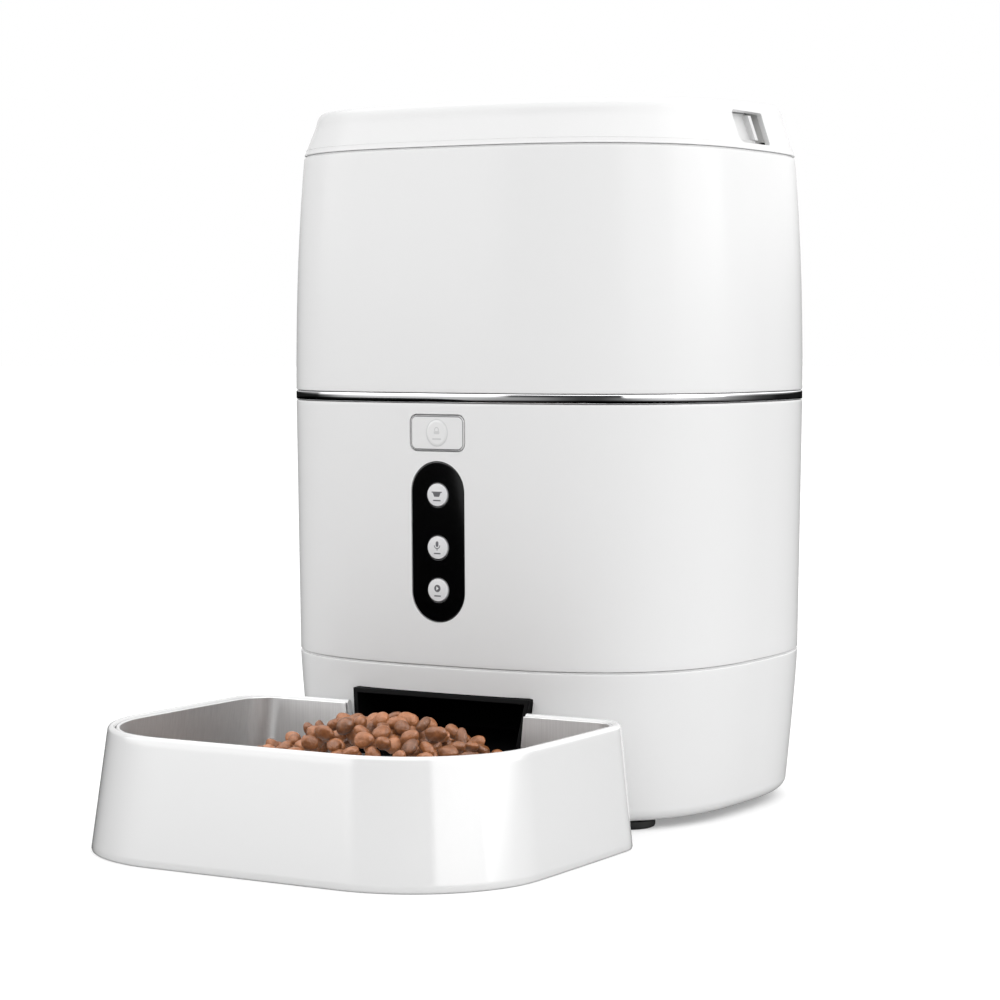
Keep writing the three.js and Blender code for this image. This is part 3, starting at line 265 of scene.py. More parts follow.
def arc(centre, radius, start, end, steps):
    """Points on a circular arc, angles in degrees; radius is one number or (across, up)."""
    a = np.radians(np.linspace(start, end, steps + 1))
    across, up = np.broadcast_to(radius, 2)
    return np.stack([centre[0] + across * np.cos(a), centre[1] + up * np.sin(a)], axis=1)


def rounded_outline(corners, radius, steps=12):
    """Four stretches of a four-cornered outline with rounded corners, each from the middle of one arc to
    the next. A corner's arc is tangent to both sides, at radius over the tangent of half the corner's
    angle from it."""
    corners = np.asarray(corners, float)
    radii = np.broadcast_to(radius, 4)
    arcs = []
    for i in range(4):
        here, before, after = corners[i], corners[i - 1], corners[(i + 1) % 4]
        u = (before - here) / np.linalg.norm(before - here)
        v = (after - here) / np.linalg.norm(after - here)
        half = math.acos(float(np.clip(u @ v, -1, 1))) / 2
        centre = here + (u + v) / np.linalg.norm(u + v) * radii[i] / math.sin(half)
        ends = [here + w * radii[i] / math.tan(half) - centre for w in (u, v)]
        begin, finish = [math.atan2(e[1], e[0]) for e in ends]
        finish = begin + (finish - begin) % (2 * math.pi)
        a = np.linspace(begin, finish, 2 * steps + 1)
        arcs.append(centre + radii[i] * np.stack([np.cos(a), np.sin(a)], axis=1))
    return [np.concatenate([arcs[i][steps:], arcs[(i + 1) % 4][: steps + 1]]) for i in range(4)]


def box_outline(centre, half, radius, steps=12):
    """A rounded rectangle, from its lower left corner counter-clockwise."""
    (x, z), (a, b) = centre, half
    return rounded_outline([(x - a, z - b), (x + a, z - b), (x + a, z + b), (x - a, z + b)], radius, steps)


def ellipse_outline(centre, half):
    """An ellipse as four quarter stretches that start at its lower left."""
    a = np.linspace(-0.75 * math.pi, 1.25 * math.pi, 97)
    points = np.stack([centre[0] + half[0] * np.cos(a), centre[1] + half[1] * np.sin(a)], axis=1)
    return [points[i * 24 : i * 24 + 25] for i in range(4)]


def resampled(stretches, counts):
    """The closed outline with a given number of equal steps on each stretch; the last point repeats the
    first."""
    out = []
    for line, count in zip(stretches, counts):
        length = np.concatenate([[0.0], np.cumsum(np.linalg.norm(np.diff(line, axis=0), axis=1))])
        at = np.linspace(0, length[-1], count + 1)[:-1]
        out.append(np.stack([np.interp(at, length, line[:, 0]), np.interp(at, length, line[:, 1])], axis=1))
    points = np.concatenate(out)
    return np.concatenate([points, points[:1]])


def annulus(outer, inner, rings):
    """A ring-shaped grid of plane points: each row is a straight blend from the outer closed line to the
    inner one."""
    share = np.linspace(0, 1, rings + 1)[:, None, None]
    return outer[None] * (1 - share) + inner[None] * share


def around(profile, round_share=None, power=None, depth=None, columns=None):
    """A profile carried round the tower: the superellipse at each profile point, scaled by its half width.
    round_share, from 0 to 1 at each point, turns the section into a circle."""
    points = np.asarray(profile, float)
    angle = np.linspace(0, 2 * math.pi, (columns or sizes().columns) + 1)[None, :]
    share = np.zeros(len(points)) if round_share is None else np.asarray(round_share, float)
    power = (sizes().squareness if power is None else power) * (1 - share) + 2 * share
    depth = (DEPTH_RATIO if depth is None else depth) * (1 - share) + share
    x, y = section(angle, power[:, None], depth[:, None])
    z = np.broadcast_to(points[:, 1][:, None], x.shape)
    return np.stack([x * points[:, 0][:, None], y * points[:, 0][:, None], z], axis=2)


class Casing:
    """A casing's outer surface as a map from (angle, arc length) to a point, with windows left in its
    grid."""

    def __init__(self, profile, side, slope=0.0, slope_from=0.0, slope_height=1.0):
        self.profile, self.side = profile, side
        self.slope, self.slope_from, self.slope_height = slope, slope_from, slope_height
        self.windows = []

    def point(self, angle, length):
        """The superellipse of the profile's half width at its height; a sloping top rises with y over
        slope_height."""
        half, z = self.profile.at(length)
        x, y = section(angle, sizes().squareness, DEPTH_RATIO)
        x, y = x * half, y * half
        z = z + self.slope * y * np.clip((z - self.slope_from) / self.slope_height, 0, 1)
        return np.stack([x, y, z], axis=-1)

    def place(self, across, z, face):
        """(angle, arc length) of a point on a face: the superellipse solved for its other axis."""
        power = sizes().squareness
        across, z = np.asarray(across, float), np.asarray(z, float)
        if self.slope and face in ("left", "right"):
            rise = self.slope * across / self.slope_height
            z = (z + rise * self.slope_from) / (1 + rise)
        length = self.profile.find(z, *self.side)
        half, _ = self.profile.at(length)
        if face in ("front", "back"):
            u = across / half
            v = (1 - np.abs(u) ** power) ** (1 / power) * (-1 if face == "front" else 1)
        else:
            v = across / (half * DEPTH_RATIO)
            u = (1 - np.abs(v) ** power) ** (1 / power) * (1 if face == "right" else -1)
        return np.mod(np.arctan2(v, u) - START_ANGLE, 2 * math.pi) + START_ANGLE, length

    def window(self, face, across, heights, holes, columns, rows, rings=5):
        """Leaves a rectangle out of the grid and fills it with ring-shaped patches down to its hole.
        holes is one outline in (across, z)."""
        middle = sum(heights) / 2
        angles, _ = self.place(np.array(across), np.array([middle, middle]), face)
        _, lengths = self.place(np.array([0.0, 0.0]), np.array(heights), face)
        self.windows.append((np.sort(angles), lengths, columns, rows, face, holes, rings))

    def parts(self, extra_lengths, column_step):
        """The grid with its windows left out, and the patches that fill them."""
        cuts = sorted({START_ANGLE, START_ANGLE + 2 * math.pi, *[a for w in self.windows for a in w[0]]})
        angle = [np.array([cuts[0]])]
        for a, b in zip(cuts, cuts[1:]):
            inside = [w for w in self.windows if w[0][0] - 1e-9 <= a and b <= w[0][1] + 1e-9]
            exact = [w[2] for w in inside if abs(w[0][0] - a) < 1e-9 and abs(w[0][1] - b) < 1e-9]
            count = exact[0] if exact else max(1, int(round((b - a) / column_step)))
            angle.append(np.linspace(a, b, count + 1)[1:])
        angle = np.concatenate(angle)
        lengths = np.array(sorted({round(float(x), 6) for x in extra_lengths}))
        edges = sorted({round(float(x), 7) for w in self.windows for x in w[1]})
        for a, b in zip(edges, edges[1:]):
            steps = [(w[1][1] - w[1][0]) / w[3] for w in self.windows if w[1][0] < (a + b) / 2 < w[1][1]]
            lengths = lengths[(lengths < a - 0.05) | (lengths > b + 0.05)] if steps else lengths
            count = max(1, int(round((b - a) / min(steps)))) if steps else 1
            lengths = np.concatenate([lengths, np.linspace(a, b, count + 1)])
        lengths = np.unique(np.round(lengths, 7))
        points = self.point(angle[None, :], lengths[:, None])
        faces = grid_faces(*points.shape[:2])
        row, column = np.divmod(faces[:, 0], len(angle))
        keep = np.ones(len(faces), bool)
        mid_angle = (angle[column] + angle[column + 1]) / 2
        mid_length = (lengths[row] + lengths[row + 1]) / 2
        for w in self.windows:
            beside = (mid_angle > w[0][0]) & (mid_angle < w[0][1])
            keep &= ~(beside & (mid_length > w[1][0]) & (mid_length < w[1][1]))
        placed, _ = as_part(points)
        out = [(placed, faces[keep])]
        for angles, span, _, _, face, hole, rings in self.windows:
            ca = angle[(angle >= angles[0] - 1e-9) & (angle <= angles[1] + 1e-9)]
            cl = lengths[(lengths >= span[0] - 1e-6) & (lengths <= span[1] + 1e-6)]
            nc, nr = len(ca) - 1, len(cl) - 1
            outer = np.concatenate([
                np.stack([ca[:-1], np.full(nc, cl[0])], 1), np.stack([np.full(nr, ca[-1]), cl[:-1]], 1),
                np.stack([ca[::-1][:-1], np.full(nc, cl[-1])], 1),
                                    np.stack([np.full(nr, ca[0]), cl[::-1][:-1]], 1)])
            outer = np.concatenate([outer, outer[:1]])
            flipped = hole if face in ("front", "right") else mirrored(hole)
            inner_plane = resampled(flipped, [nc, nr, nc, nr])
            inner = np.stack(self.place(inner_plane[:, 0], inner_plane[:, 1], face), axis=1)
            blend = annulus(outer, inner, rings)
            out.append(as_part(self.point(blend[..., 0], blend[..., 1])))
        return out


def mirrored(stretches):
    """An outline seen from behind: across turns over, so the stretches run the other way and keep their
    order."""
    bottom, right, top, left = [line[::-1] for line in stretches]
    return [bottom, left, top, right]


def capped(outline, centre, rows, surface):
    """A key: a closed outline shrunk towards its centre for the face, then grown and sunk for the sides.
    rows are (share of the outline, growth in mm, height above the surface in mm); surface gives y at (x,
    z)."""
    middle = np.asarray(centre, float)
    away = outline - middle
    unit = away / np.linalg.norm(away, axis=1, keepdims=True)
    plane = np.stack([middle + away * share + unit * grow for share, grow, _ in rows])
    y = surface(plane[..., 0], plane[..., 1]) - np.array([h for _, _, h in rows])[:, None]
    return np.stack([plane[..., 0], y, plane[..., 1]], axis=2)[::-1]


# ---------------------------------------------------------------- pieces


def make_piece(name, parts, body, material, replaces=(), wall=0.0, bevel=0.0, attributes=None,
               sharp=35, closed=False):
    """One mesh from several (vertices, faces) parts: welded, given its wall and rounded edges, and put on
    its body."""
    vertices, faces, start = [], [], 0
    for points, quads in parts:
        vertices.append(points)
        faces.append(quads + start)
        start += len(points)
    mesh = bpy.data.meshes.new(name)
    mesh.from_pydata(np.concatenate(vertices).tolist(), [], np.concatenate(faces).tolist())
    for key, values in (attributes or {}).items():
        layer = mesh.attributes.new(key, "FLOAT", "POINT")
        layer.data.foreach_set("value", np.asarray(values, np.float32).ravel())
    return dress(name, mesh, body, material, replaces, wall, bevel, sharp, closed)


def dress(name, mesh, body, material, replaces=(), wall=0.0, bevel=0.0, sharp=35, closed=False):
    """Welds a mesh, turns a closed one's faces outwards, adds Solidify and Bevel, and makes it a piece of
    the feeder."""
    work = bmesh.new()
    work.from_mesh(mesh)
    bmesh.ops.remove_doubles(work, verts=work.verts, dist=2e-6)
    bmesh.ops.dissolve_degenerate(work, edges=work.edges, dist=1e-7)
    if closed:
        bmesh.ops.recalc_face_normals(work, faces=work.faces)
    work.to_mesh(mesh)
    work.free()
    mesh.shade_smooth()
    mesh.set_sharp_from_angle(angle=math.radians(sharp))
    piece = bpy.data.objects.new(name, mesh)
    bpy.context.scene.collection.objects.link(piece)
    mesh.materials.append(material)
    if wall:
        solidify = piece.modifiers.new("Wall", "SOLIDIFY")
        solidify.thickness, solidify.offset, solidify.use_even_offset = wall * MM, -1.0, True
    if bevel:
        rounding = piece.modifiers.new("Edges", "BEVEL")
        rounding.width, rounding.segments, rounding.limit_method = bevel * MM, 2, "ANGLE"
        rounding.angle_limit, rounding.harden_normals = math.radians(sharp + 5), True
    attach(piece, body)
    if replaces:
        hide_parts(*replaces)
    return piece


def refined(node, body, material, bevel=0.25):
    """A copy of a CAD node with its loose triangles welded and its edges rounded, standing for the node."""
    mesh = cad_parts[node].data.copy()
    mesh.materials.clear()
    for layer in [a.name for a in mesh.attributes if a.name == "custom_normal"]:
        mesh.attributes.remove(mesh.attributes[layer])
    work = bmesh.new()
    work.from_mesh(mesh)
    bmesh.ops.remove_doubles(work, verts=work.verts, dist=1e-6)
    bmesh.ops.dissolve_limit(work, angle_limit=math.radians(0.5), verts=work.verts, edges=work.edges)
    work.to_mesh(mesh)
    work.free()
    return dress("fine_" + node, mesh, body, material, (node,), bevel=bevel, sharp=30)


# ---------------------------------------------------------------- materials


def node_group(name, inputs, outputs):
    """An empty shader node group with its sockets, or None and the group if it is already there."""
    if name in bpy.data.node_groups:
        return None, bpy.data.node_groups[name]
    group = bpy.data.node_groups.new(name, "ShaderNodeTree")
    for label, kind, default in inputs:
        socket = group.interface.new_socket(label, in_out="INPUT", socket_type=kind)
        socket.default_value = default
    for label, kind in outputs:
        group.interface.new_socket(label, in_out="OUTPUT", socket_type=kind)
    return group.nodes, group


def math_node(nodes, links, operation, *values, clamp=False):
    """A Math node whose inputs are numbers or sockets; returns its output."""
    node = nodes.new("ShaderNodeMath")
    node.operation, node.use_clamp = operation, clamp
    for socket, value in zip(node.inputs, values):
        if isinstance(value, (int, float)):
            socket.default_value = value
        else:
            links.new(value, socket)
    return node.outputs[0]


def noise_node(nodes, links, vector, scale, detail=3.0, roughness=0.5):
    """A Noise Texture on a vector; returns its factor."""
    node = nodes.new("ShaderNodeTexNoise")
    node.inputs["Detail"].default_value, node.inputs["Roughness"].default_value = detail, roughness
    if isinstance(scale, (int, float)):
        node.inputs["Scale"].default_value = scale
    else:
        links.new(scale, node.inputs["Scale"])
    links.new(vector, node.inputs["Vector"])
    return node.outputs["Fac"]


def moulding_group():
    """Moulded surface: a broad tint, a fine grain height and smudges in the gloss, all from Object
    coordinates."""
    nodes, group = node_group(
        "Moulded Surface",
        [("Colour", "NodeSocketColor", (0.8, 0.8, 0.8, 1)), ("Tint", "NodeSocketFloat", 0.02),
         ("Gloss", "NodeSocketFloat", 0.2), ("Smudge", "NodeSocketFloat", 0.04),
         ("Grain Scale", "NodeSocketFloat", 900.0)],
        [("Colour", "NodeSocketColor"), ("Roughness", "NodeSocketFloat"), ("Height", "NodeSocketFloat")])
    if nodes is None:
        return group
    links = group.links
    given, made = nodes.new("NodeGroupInput"), nodes.new("NodeGroupOutput")
    where = nodes.new("ShaderNodeTexCoord").outputs["Object"]
    broad = noise_node(nodes, links, where, 9.0, 2.0)
    fine = noise_node(nodes, links, where, given.outputs["Grain Scale"], 2.0, 0.6)
    smudge = noise_node(nodes, links, where, 38.0, 5.0, 0.62)
    lift = math_node(nodes, links, "MULTIPLY_ADD", math_node(nodes, links, "SUBTRACT", broad, 0.5),
                     given.outputs["Tint"], 1.0)
    tint = nodes.new("ShaderNodeVectorMath")
    tint.operation = "SCALE"
    links.new(given.outputs["Colour"], tint.inputs[0])
    links.new(lift, tint.inputs["Scale"])
    gloss = math_node(nodes, links, "MULTIPLY_ADD", math_node(nodes, links, "SUBTRACT", smudge, 0.5),
                      given.outputs["Smudge"], given.outputs["Gloss"], clamp=True)
    links.new(tint.outputs[0], made.inputs["Colour"])
    links.new(gloss, made.inputs["Roughness"])
    links.new(fine, made.inputs["Height"])
    return group


def brushed_group():
    """Brushed metal: noise stretched along one axis gives the height and streaks in the gloss."""
    nodes, group = node_group(
        "Brushed Metal",
        [("Colour", "NodeSocketColor", (0.6, 0.6, 0.6, 1)),
         ("Stretch", "NodeSocketVector", (40.0, 2000.0, 2000.0)),
         ("Gloss", "NodeSocketFloat", 0.25), ("Streak", "NodeSocketFloat", 0.15)],
        [("Colour", "NodeSocketColor"), ("Roughness", "NodeSocketFloat"), ("Height", "NodeSocketFloat")])
    if nodes is None:
        return group
    links = group.links
    given, made = nodes.new("NodeGroupInput"), nodes.new("NodeGroupOutput")
    where = nodes.new("ShaderNodeTexCoord").outputs["Object"]
    stretch = nodes.new("ShaderNodeVectorMath")
    stretch.operation = "MULTIPLY"
    links.new(where, stretch.inputs[0])
    links.new(given.outputs["Stretch"], stretch.inputs[1])
    streak = noise_node(nodes, links, stretch.outputs[0], 1.0, 3.0, 0.6)
    spread = math_node(nodes, links, "SUBTRACT", streak, 0.5)
    gloss = math_node(nodes, links, "MULTIPLY_ADD", spread, given.outputs["Streak"], given.outputs["Gloss"],
                      clamp=True)
    tint = nodes.new("ShaderNodeVectorMath")
    tint.operation = "SCALE"
    links.new(given.outputs["Colour"], tint.inputs[0])
    links.new(math_node(nodes, links, "MULTIPLY_ADD", spread, 0.25, 1.0), tint.inputs["Scale"])
    links.new(tint.outputs[0], made.inputs["Colour"])
    links.new(gloss, made.inputs["Roughness"])
    links.new(streak, made.inputs["Height"])
    return group


def shader(name, group, values, bump=0.0, bump_distance=0.0001, **sockets):
    """A Principled material fed by a node group; constants sit on the shader's own sockets."""
    if name in bpy.data.materials:
        return bpy.data.materials[name]
    material = bpy.data.materials.new(name)
    material.use_nodes = True
    nodes, links = material.node_tree.nodes, material.node_tree.links
    principled = nodes["Principled BSDF"]
    for label, value in sockets.items():
        principled.inputs[label].default_value = value
    effect = nodes.new("ShaderNodeGroup")
    effect.node_tree = group
    for label, value in values.items():
        effect.inputs[label].default_value = value
    links.new(effect.outputs["Colour"], principled.inputs["Base Color"])
    links.new(effect.outputs["Roughness"], principled.inputs["Roughness"])
    if bump:
        relief = nodes.new("ShaderNodeBump")
        relief.inputs["Strength"].default_value = bump
        relief.inputs["Distance"].default_value = bump_distance
        links.new(effect.outputs["Height"], relief.inputs["Height"])
        links.new(relief.outputs["Normal"], principled.inputs["Normal"])
    return material


def plastic(name, colour, gloss, smudge=0.04, tint=0.02, grain=900.0, bump=0.02, **sockets):
    """Moulded plastic of one colour."""
    values = {"Colour": (*colour, 1), "Gloss": gloss, "Smudge": smudge, "Tint": tint, "Grain Scale": grain}
    return shader(name, moulding_group(), values, bump, 0.00008, **sockets)


def metal(name, colour, gloss, streak=0.12, stretch=(40.0, 2000.0, 2000.0), bump=0.03, **sockets):
    """Metal with a fine drawn or brushed surface."""
    values = {"Colour": (*colour, 1), "Gloss": gloss, "Streak": streak, "Stretch": stretch}
    return shader(name, brushed_group(), values, bump, 0.00005, **{"Metallic": 1.0, **sockets})


def white_gloss():
    """The casings' glossy white plastic."""
    return plastic("White Gloss Casing", colours().shell, 0.2, 0.05, 0.012, **{"Specular IOR Level": 0.19})


def bowl_white():
    """The bowl's polished white plastic, glossier than the casings."""
    return plastic("White Polished Bowl", colours().shell, 0.09, 0.03, 0.01, 900.0, 0.01,
                   **{"IOR": 1.58, "Coat Weight": 0.5, "Coat Roughness": 0.04})


def white_inner():
    """The satin white of inner parts."""
    return plastic("White Satin Inner", colours().inner, 0.42, 0.08, 0.03, 700.0, 0.06)


def black_gloss():
    """The key panel's black gloss."""
    return plastic("Black Gloss Panel", colours().panel, 0.05, 0.02, 0.2, 1200.0, 0.004,
                   **{"Specular IOR Level": 1.0})


def black_plastic():
    """The spout's black plastic."""
    return plastic("Black Plastic", colours().black, 0.5, 0.1, 0.3, 1500.0, 0.06,
                   **{"Specular IOR Level": 0.1})


def printed(name, base, gloss):
    """A key's plastic with marks printed on it, and on the release key a painted edge shade, from the
    piece's own mark attribute.
    """
    if name in bpy.data.materials:
        return bpy.data.materials[name]
    material = plastic(name, base, gloss, 0.05, 0.02)
    nodes, links = material.node_tree.nodes, material.node_tree.links
    principled = nodes["Principled BSDF"]
    under = principled.inputs["Base Color"].links[0].from_socket
    mark = nodes.new("ShaderNodeAttribute")
    mark.attribute_name = "mark"
    mix = nodes.new("ShaderNodeMix")
    mix.data_type = "RGBA"
    links.new(mark.outputs["Fac"], mix.inputs["Factor"])
    links.new(under, mix.inputs["A"])
    mix.inputs["B"].default_value = (*colours().print_and_edge_shade_grey, 1)
    links.new(mix.outputs["Result"], principled.inputs["Base Color"])
    return material


def crust_material():
    """Baked food: each piece has its own tone and a broken crust, with painted shade in the crust's hollows
    and a painted highlight on its raised tops.
    Only the camera sees its full colour; other rays see it three quarters greyed, so that little brown is
    thrown about."""
    name = "Baked Kibble"
    if name in bpy.data.materials:
        return bpy.data.materials[name]
    colour = colours().kibble
    material = plastic(name, colour, 0.38, 0.2, 0.5, 650.0, 0.0, **{"Specular IOR Level": 0.75})
    nodes, links = material.node_tree.nodes, material.node_tree.links
    principled = nodes["Principled BSDF"]
    where = nodes.new("ShaderNodeTexCoord").outputs["Object"]
    tone = nodes.new("ShaderNodeAttribute")
    tone.attribute_name = "tone"
    # Painted shade and highlight: the crust's height noise, which also makes the bump, darkens the colour in
    # the hollows and lightens it on the raised tops, over each piece's own tone.
    pits = noise_node(nodes, links, where, 380.0, 4.0, 0.6)
    mix = math_node(nodes, links, "MULTIPLY_ADD", math_node(nodes, links, "SUBTRACT", pits, 0.5), 0.75,
                    tone.outputs["Fac"], clamp=True)
    ramp = nodes.new("ShaderNodeValToRGB")
    ramp.color_ramp.elements[0].position, ramp.color_ramp.elements[1].position = 0.12, 0.92
    ramp.color_ramp.elements[0].color = (*[c * 0.28 for c in colour], 1)
    ramp.color_ramp.elements[1].color = (*[min(1, c * 1.7 + 0.04) for c in colour], 1)
    middle = ramp.color_ramp.elements.new(0.5)
    middle.color = (*colour, 1)
    links.new(mix, ramp.inputs["Fac"])
    path = nodes.new("ShaderNodeLightPath")
    neutral = nodes.new("ShaderNodeMix")
    neutral.data_type = "RGBA"
    neutral.inputs["B"].default_value = (*[sum(colour) / 3] * 3, 1)
    links.new(math_node(nodes, links, "MULTIPLY_ADD", path.outputs["Is Camera Ray"], -0.75, 0.75),
              neutral.inputs["Factor"])
    links.new(ramp.outputs["Color"], neutral.inputs["A"])
    links.new(neutral.outputs["Result"], principled.inputs["Base Color"])
    relief = nodes.new("ShaderNodeBump")
    relief.inputs["Strength"].default_value, relief.inputs["Distance"].default_value = 0.8, 0.0011
    links.new(pits, relief.inputs["Height"])
    links.new(relief.outputs["Normal"], principled.inputs["Normal"])
    return material


# ---------------------------------------------------------------- the tower


def casing_profile(start, end, inner_start, inner_end, steps=40):
    """A casing's outer line: in from the lower edge, up the skin, and in at the upper edge, with rounded
    corners. inner_start and inner_end are lists of (half width, z) before the lower corner and after the
    upper one."""
    e = sizes().edge
    lower = arc((float(skin(start)) - e, start + e), e, -90, 0, 4)
    upper = arc((float(skin(end)) - e, end - e), e, 0, 90, 4)
    z = np.linspace(start + e, end - e, steps + 1)[1:-1]
    side = np.stack([skin(z), z], axis=1)
    before = np.array(inner_start, float).reshape(-1, 2)
    after = np.array(inner_end, float).reshape(-1, 2)
    return Profile(np.concatenate([before, lower, side, upper, after]))


def side_span(profile, start, end):
    """Arc lengths where the skin's stretch starts and ends, between two heights."""
    points = profile.points
    outer = np.where((points[:, 1] >= start) & (points[:,
        1] <= end) & (np.abs(points[:, 0] - skin(points[:, 1])) < 0.02))[0]
    return profile.length[outer[0]], profile.length[outer[-1]]


def shell_lengths(profile, step=2.6):
    """Arc lengths of a casing's rows: every point of the corners and even steps on the long stretches."""
    out = [profile.length[0]]
    for a, b in zip(profile.length, profile.length[1:]):
        out.extend(np.linspace(a, b, max(1, int(round((b - a) / step))) + 1)[1:])
    return out


class FEEDER_OT_base(bpy.types.Operator):
    """Base casing with the spout's doorway and the jack's hole, its plate, screws and feet"""

    bl_idname = "feeder.base"
    bl_label = "Base"

    def execute(self, context):
        s = sizes()
        e = s.edge
        lip = float(skin(BASE_TOP + SEAM)) - s.wall - GAP
        bottom = low("base_housing").z
        edge_top = bottom + s.base_edge
        edge = arc((float(skin(edge_top)) - s.base_edge, edge_top), s.base_edge, -90, 0, 12)
        z = np.linspace(edge_top, BASE_TOP - e, 34)[1:]
        side = np.stack([skin(z), z], axis=1)
        corner = arc((float(skin(BASE_TOP)) - e, BASE_TOP - e), e, 0, 90, 4)[1:]
        top = high("base_housing").z
        groove = float(skin(BASE_TOP)) - GROOVE
        inner = [(groove, BASE_TOP), (groove, BASE_TOP + 0.55), (lip, BASE_TOP + 0.55), (lip, top - 0.4),
                 (lip - 0.4, top)]
        profile = Profile(np.concatenate([[(edge[0][0] - 2.0, bottom)], edge, side, corner, inner]))
        casing = Casing(profile, side_span(profile, edge_top, BASE_TOP - e))
        chute_low, chute_high = low("chute"), high("chute")
        mouth_top, mouth_bottom = MOUTH_TOP + GAP, chute_low.z - GAP
        half_top = chute_high.x + GAP
        half_bottom = half_top - (mouth_top - mouth_bottom) * s.spout_lean
        door = rounded_outline([(-half_bottom, mouth_bottom), (half_bottom, mouth_bottom),
                                (half_top, mouth_top), (-half_top, mouth_top)], 0.8, 4)
        around_door = (mouth_bottom - 6, mouth_top + 5)
        casing.window("front", (-half_top - 8, half_top + 8), around_door, door, 56, 16)
        jack = (low("dc_inlet") + high("dc_inlet")) / 2
        radius = (high("dc_inlet").x - low("dc_inlet").x) / 2 + GAP
        casing.window("back", (-12, 12), (jack.z - 9, jack.z + 8),
                      box_outline((jack.x, jack.z), (radius, radius), radius - 0.01), 16, 10)
        parts = casing.parts(shell_lengths(profile), 2 * math.pi / s.columns)
        make_piece("base_casing", parts, "base", white_gloss(), ("base_housing",),
                   wall=1.7, bevel=0.3)
        plate = plastic("Grey Base Plastic", (0.16, 0.165, 0.17), 0.5, 0.1, 0.06, 500.0, 0.12)
        for node in ("base_plate", "battery_door"):
            refined(node, "base", plate, 0.3)
        screw = metal("Screw Steel", (0.5, 0.5, 0.52), 0.3)
        for i in range(1, 5):
            refined(f"base_screw_{i}", "base", screw, 0.2)
        refined("battery_door_screw", "base", screw, 0.3)
        rubber = plastic("Foot Rubber", (0.012, 0.012, 0.012), 0.75, 0.1, 0.3, 400.0, 0.2)
        for place in ("front_right", "front_left", "rear_left", "rear_right"):
            node = f"foot_{place}"
            lowest, highest = low(node), high(node)
            x, y, r = (lowest.x + highest.x) / 2, (lowest.y + highest.y) / 2, (highest.x - lowest.x) / 2
            line = np.array([(0, 0.35), (r - 2.4, 0.35), (r - 2, 0), (r - 1.0, 0), (r - 0.3, 0.3), (r, 1.0),
                             (r, highest.z), (0, highest.z)])
            ring = around(line, power=2, depth=1, columns=48)
            make_piece(f"rubber_{node}", [as_part(ring + np.array([x, y, 0]))], "base", rubber, (node,))
        return {"FINISHED"}


class FEEDER_OT_housing(bpy.types.Operator):
    """Middle casing with its openings for the keys and the speaker, and the trim band"""

    bl_idname = "feeder.housing"
    bl_label = "Housing"

    def execute(self, context):
        s = sizes()
        bottom, band = low("mid_housing").z, low("trim_band").z
        top, lip_top = band - GAP, high("mid_housing").z
        lip = float(skin(BAND_TOP + GAP)) - s.wall - GAP
        skirt = [(lip + 0.4, top), (lip, top + 0.4), (lip, lip_top - 0.4), (lip - 0.4, lip_top)]
        profile = casing_profile(bottom, top, [(float(skin(bottom)) - s.wall + 0.3, bottom)], skirt)
        casing = Casing(profile, side_span(profile, bottom + s.edge, top - s.edge))
        centre, half, tall = face_of("control_panel", PANEL_FLANGE)
        key_centre, key_half, key_tall = face_of("release_button", RELEASE_FLANGE)
        between = (centre + tall + key_centre - key_tall) / 2
        pill = box_outline((0, centre), (half + GAP, tall + GAP), half + GAP - 0.01, 16)
        casing.window("front", (-19, 19), (centre - tall - 7, between), pill, 30, 54, 6)
        key = box_outline((0, key_centre), (key_half + 0.6, key_tall + 0.6), 3.3, 8)
        casing.window("front", (-19, 19), (between, key_centre + key_tall + 3.2), key, 30, 16, 5)
        speaker = (low("speaker") + high("speaker")) / 2
        radius = (high("speaker").x - low("speaker").x) / 2
        for i in range(5):
            z = speaker.z + (i - 2) * 5
            wide = math.sqrt((radius - 1) ** 2 - (z - speaker.z) ** 2)
            slot = box_outline((0, z), (wide, 1), 0.99, 6)
            casing.window("back", (-20, 20), (z - 2.5, z + 2.5), slot, 30, 4, 3)
        parts = casing.parts(shell_lengths(profile), 2 * math.pi / s.columns)
        make_piece("middle_casing", parts, "base", white_gloss(), ("mid_housing",),
                   wall=1.7, bevel=0.25)
        e, back = 0.5, HALF_WIDTH - INNER_FACE
        line = np.concatenate([[(back, band)], arc((HALF_WIDTH - e, band + e), e, -90, 0, 5),
                               arc((HALF_WIDTH - e, BAND_TOP - e), e, 0, 90, 5),
                               [(back, BAND_TOP), (back, band)]])
        chrome = metal("Bright Trim", (0.86, 0.86, 0.87), 0.05, 0.03, (15.0, 15.0, 2500.0), 0.01)
        make_piece("bright_band", [as_part(around(line))], "base", chrome, ("trim_band",))
        return {"FINISHED"}


